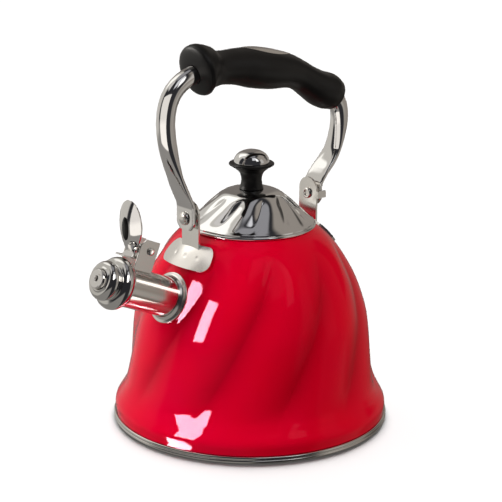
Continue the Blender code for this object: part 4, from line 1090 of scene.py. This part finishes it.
def make_lights(floor):
    """Softboxes by place (azimuth, elevation, distance), size and radiance; each lights its own pieces."""
    enamelled = made_of(ENAMEL)
    plain = [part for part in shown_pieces() if part not in enamelled]
    for name, parts, place, size, radiance, colour in (
            ("key_red", enamelled, (-60, 21, 0.62), (0.33, 0.36), 12.8, (0.55, 0.4, 1.0)),
            ("key_plain", plain, (-60, 21, 0.62), (0.33, 0.36), 5.5, (1, 1, 1)),
            ("fill_softbox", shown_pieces(), (48, 34, 1.2), (0.9, 0.9), 2.6, (1, 1, 1))):
        key = softbox(name, place, *size, radiance, colour)
        key.visible_glossy = False
        link_light(key, parts)

    white, warm = (1, 1, 1), (1, 0.96, 0.91)
    rivets = named("front_hinge_rivet", "rear_hinge_rivet")
    for name, parts, place, size, radiance, colour in (
            ("key_shine", enamelled, (-52, 17, 0.62), (0.19, 0.31), 115, white),
            ("low_shine", enamelled, (-59, -34, 0.62), (0.19, 0.31), 115, white),
            ("tube_glow", made_of(TUBE_CHROME), (-30, 8, 1.0), (1.5, 1.3), 0.9, warm),
            ("satin_glow", made_of(STEEL), (-90, 35, 1.0), (1.0, 0.8), 0.36, warm),
            ("bulb_glow", made_of(WHISTLE_CHROME), (0, 42, 0.8), (0.25, 0.3), 4.5, warm),
            ("grip_glow", made_of(PHENOLIC), (-95, 25, 0.8), (0.4, 0.4), 6.5, warm),
            ("pipe_glow", named("spout_pipe"), (101, 17, 1.2), (0.3, 0.26), 2.0, warm),
            ("low_pipe_glow", named("spout_pipe"), (81, -57, 1.2), (0.4, 0.4), 2.6, warm),
            ("pin_glow", named("pivot_pin"), (78, -15, 1.0), (0.3, 0.3), 1.6, warm),
            ("rivet_glow", rivets, (-85, 15, 1.0), (0.35, 0.35), 3.0, warm)):
        shine = softbox(name, place, *size, radiance, colour)
        shine.visible_diffuse = False
        link_light(shine, parts, parts)

    data = bpy.data.lights.new("floor_light", 'SUN')
    data.energy = 12.0
    data.angle = radians(50)
    sun = new_object("floor_light", data)
    sun.rotation_euler = from_camera(180, 28, 1).to_track_quat('Z', 'Y').to_euler()
    link_light(sun, [floor], named("rolled_base_rim", "base_plate"))


def make_floor():
    """A pale floor and a white backdrop, seen by the camera alone."""
    m = Nodes("paper_floor", roughness=0.9)
    m.set(base_color=m.tint(m.spread(m.noise(9, 2), 0, 1), (0.5, 0.5, 0.5), (0.495, 0.495, 0.495)),
          normal=m.bump(m.noise(800, 2), 0.02, 0.0002), specular_ior_level=0.0)
    outline = [(radius, FLOOR_HEIGHT) for radius in (0.0, 0.3, 1.0, 3.0, BACKDROP_RADIUS + 0.1)]
    floor = piece("studio_floor", turned(outline, 96, closed=False), m.material, None)

    m = Nodes("white_backdrop")
    m.set(base_color=(0, 0, 0, 1), emission_color=(1, 1, 1, 1), emission_strength=1.0, specular_ior_level=0.0)
    outline = arc((0, 0), BACKDROP_RADIUS, -10, 80, 9) + [(0, BACKDROP_RADIUS)]
    backdrop = piece("studio_backdrop", turned(outline, 64, closed=False), m.material, None)
    for stage in (floor, backdrop):
        stage.visible_diffuse = False
        stage.visible_glossy = False
        stage.visible_transmission = False
        stage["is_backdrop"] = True
    backdrop.visible_shadow = False
    return floor


bpy.context.scene.view_settings.view_transform = 'Standard'
make_camera()
make_body()
make_lid()
make_knob()
make_bracket("front_foot_bracket", 1, "front_bracket")
make_bracket("rear_foot_bracket", -1, "rear_bracket")
make_pivot("front_hinge_rivet", 1, "front_rivet", "front_washer")
make_pivot("rear_hinge_rivet", -1, "rear_rivet", "rear_washer")
make_arm("front_tube", FRONT_ARM, 1, "front_arm")
make_arm("rear_tube", REAR_ARM, -1, "rear_arm")
make_grip()
make_spout()
make_ear_bracket()
make_spring()
make_lever()
make_whistle()
finish_hidden_nodes()
make_room()
make_lights(make_floor())
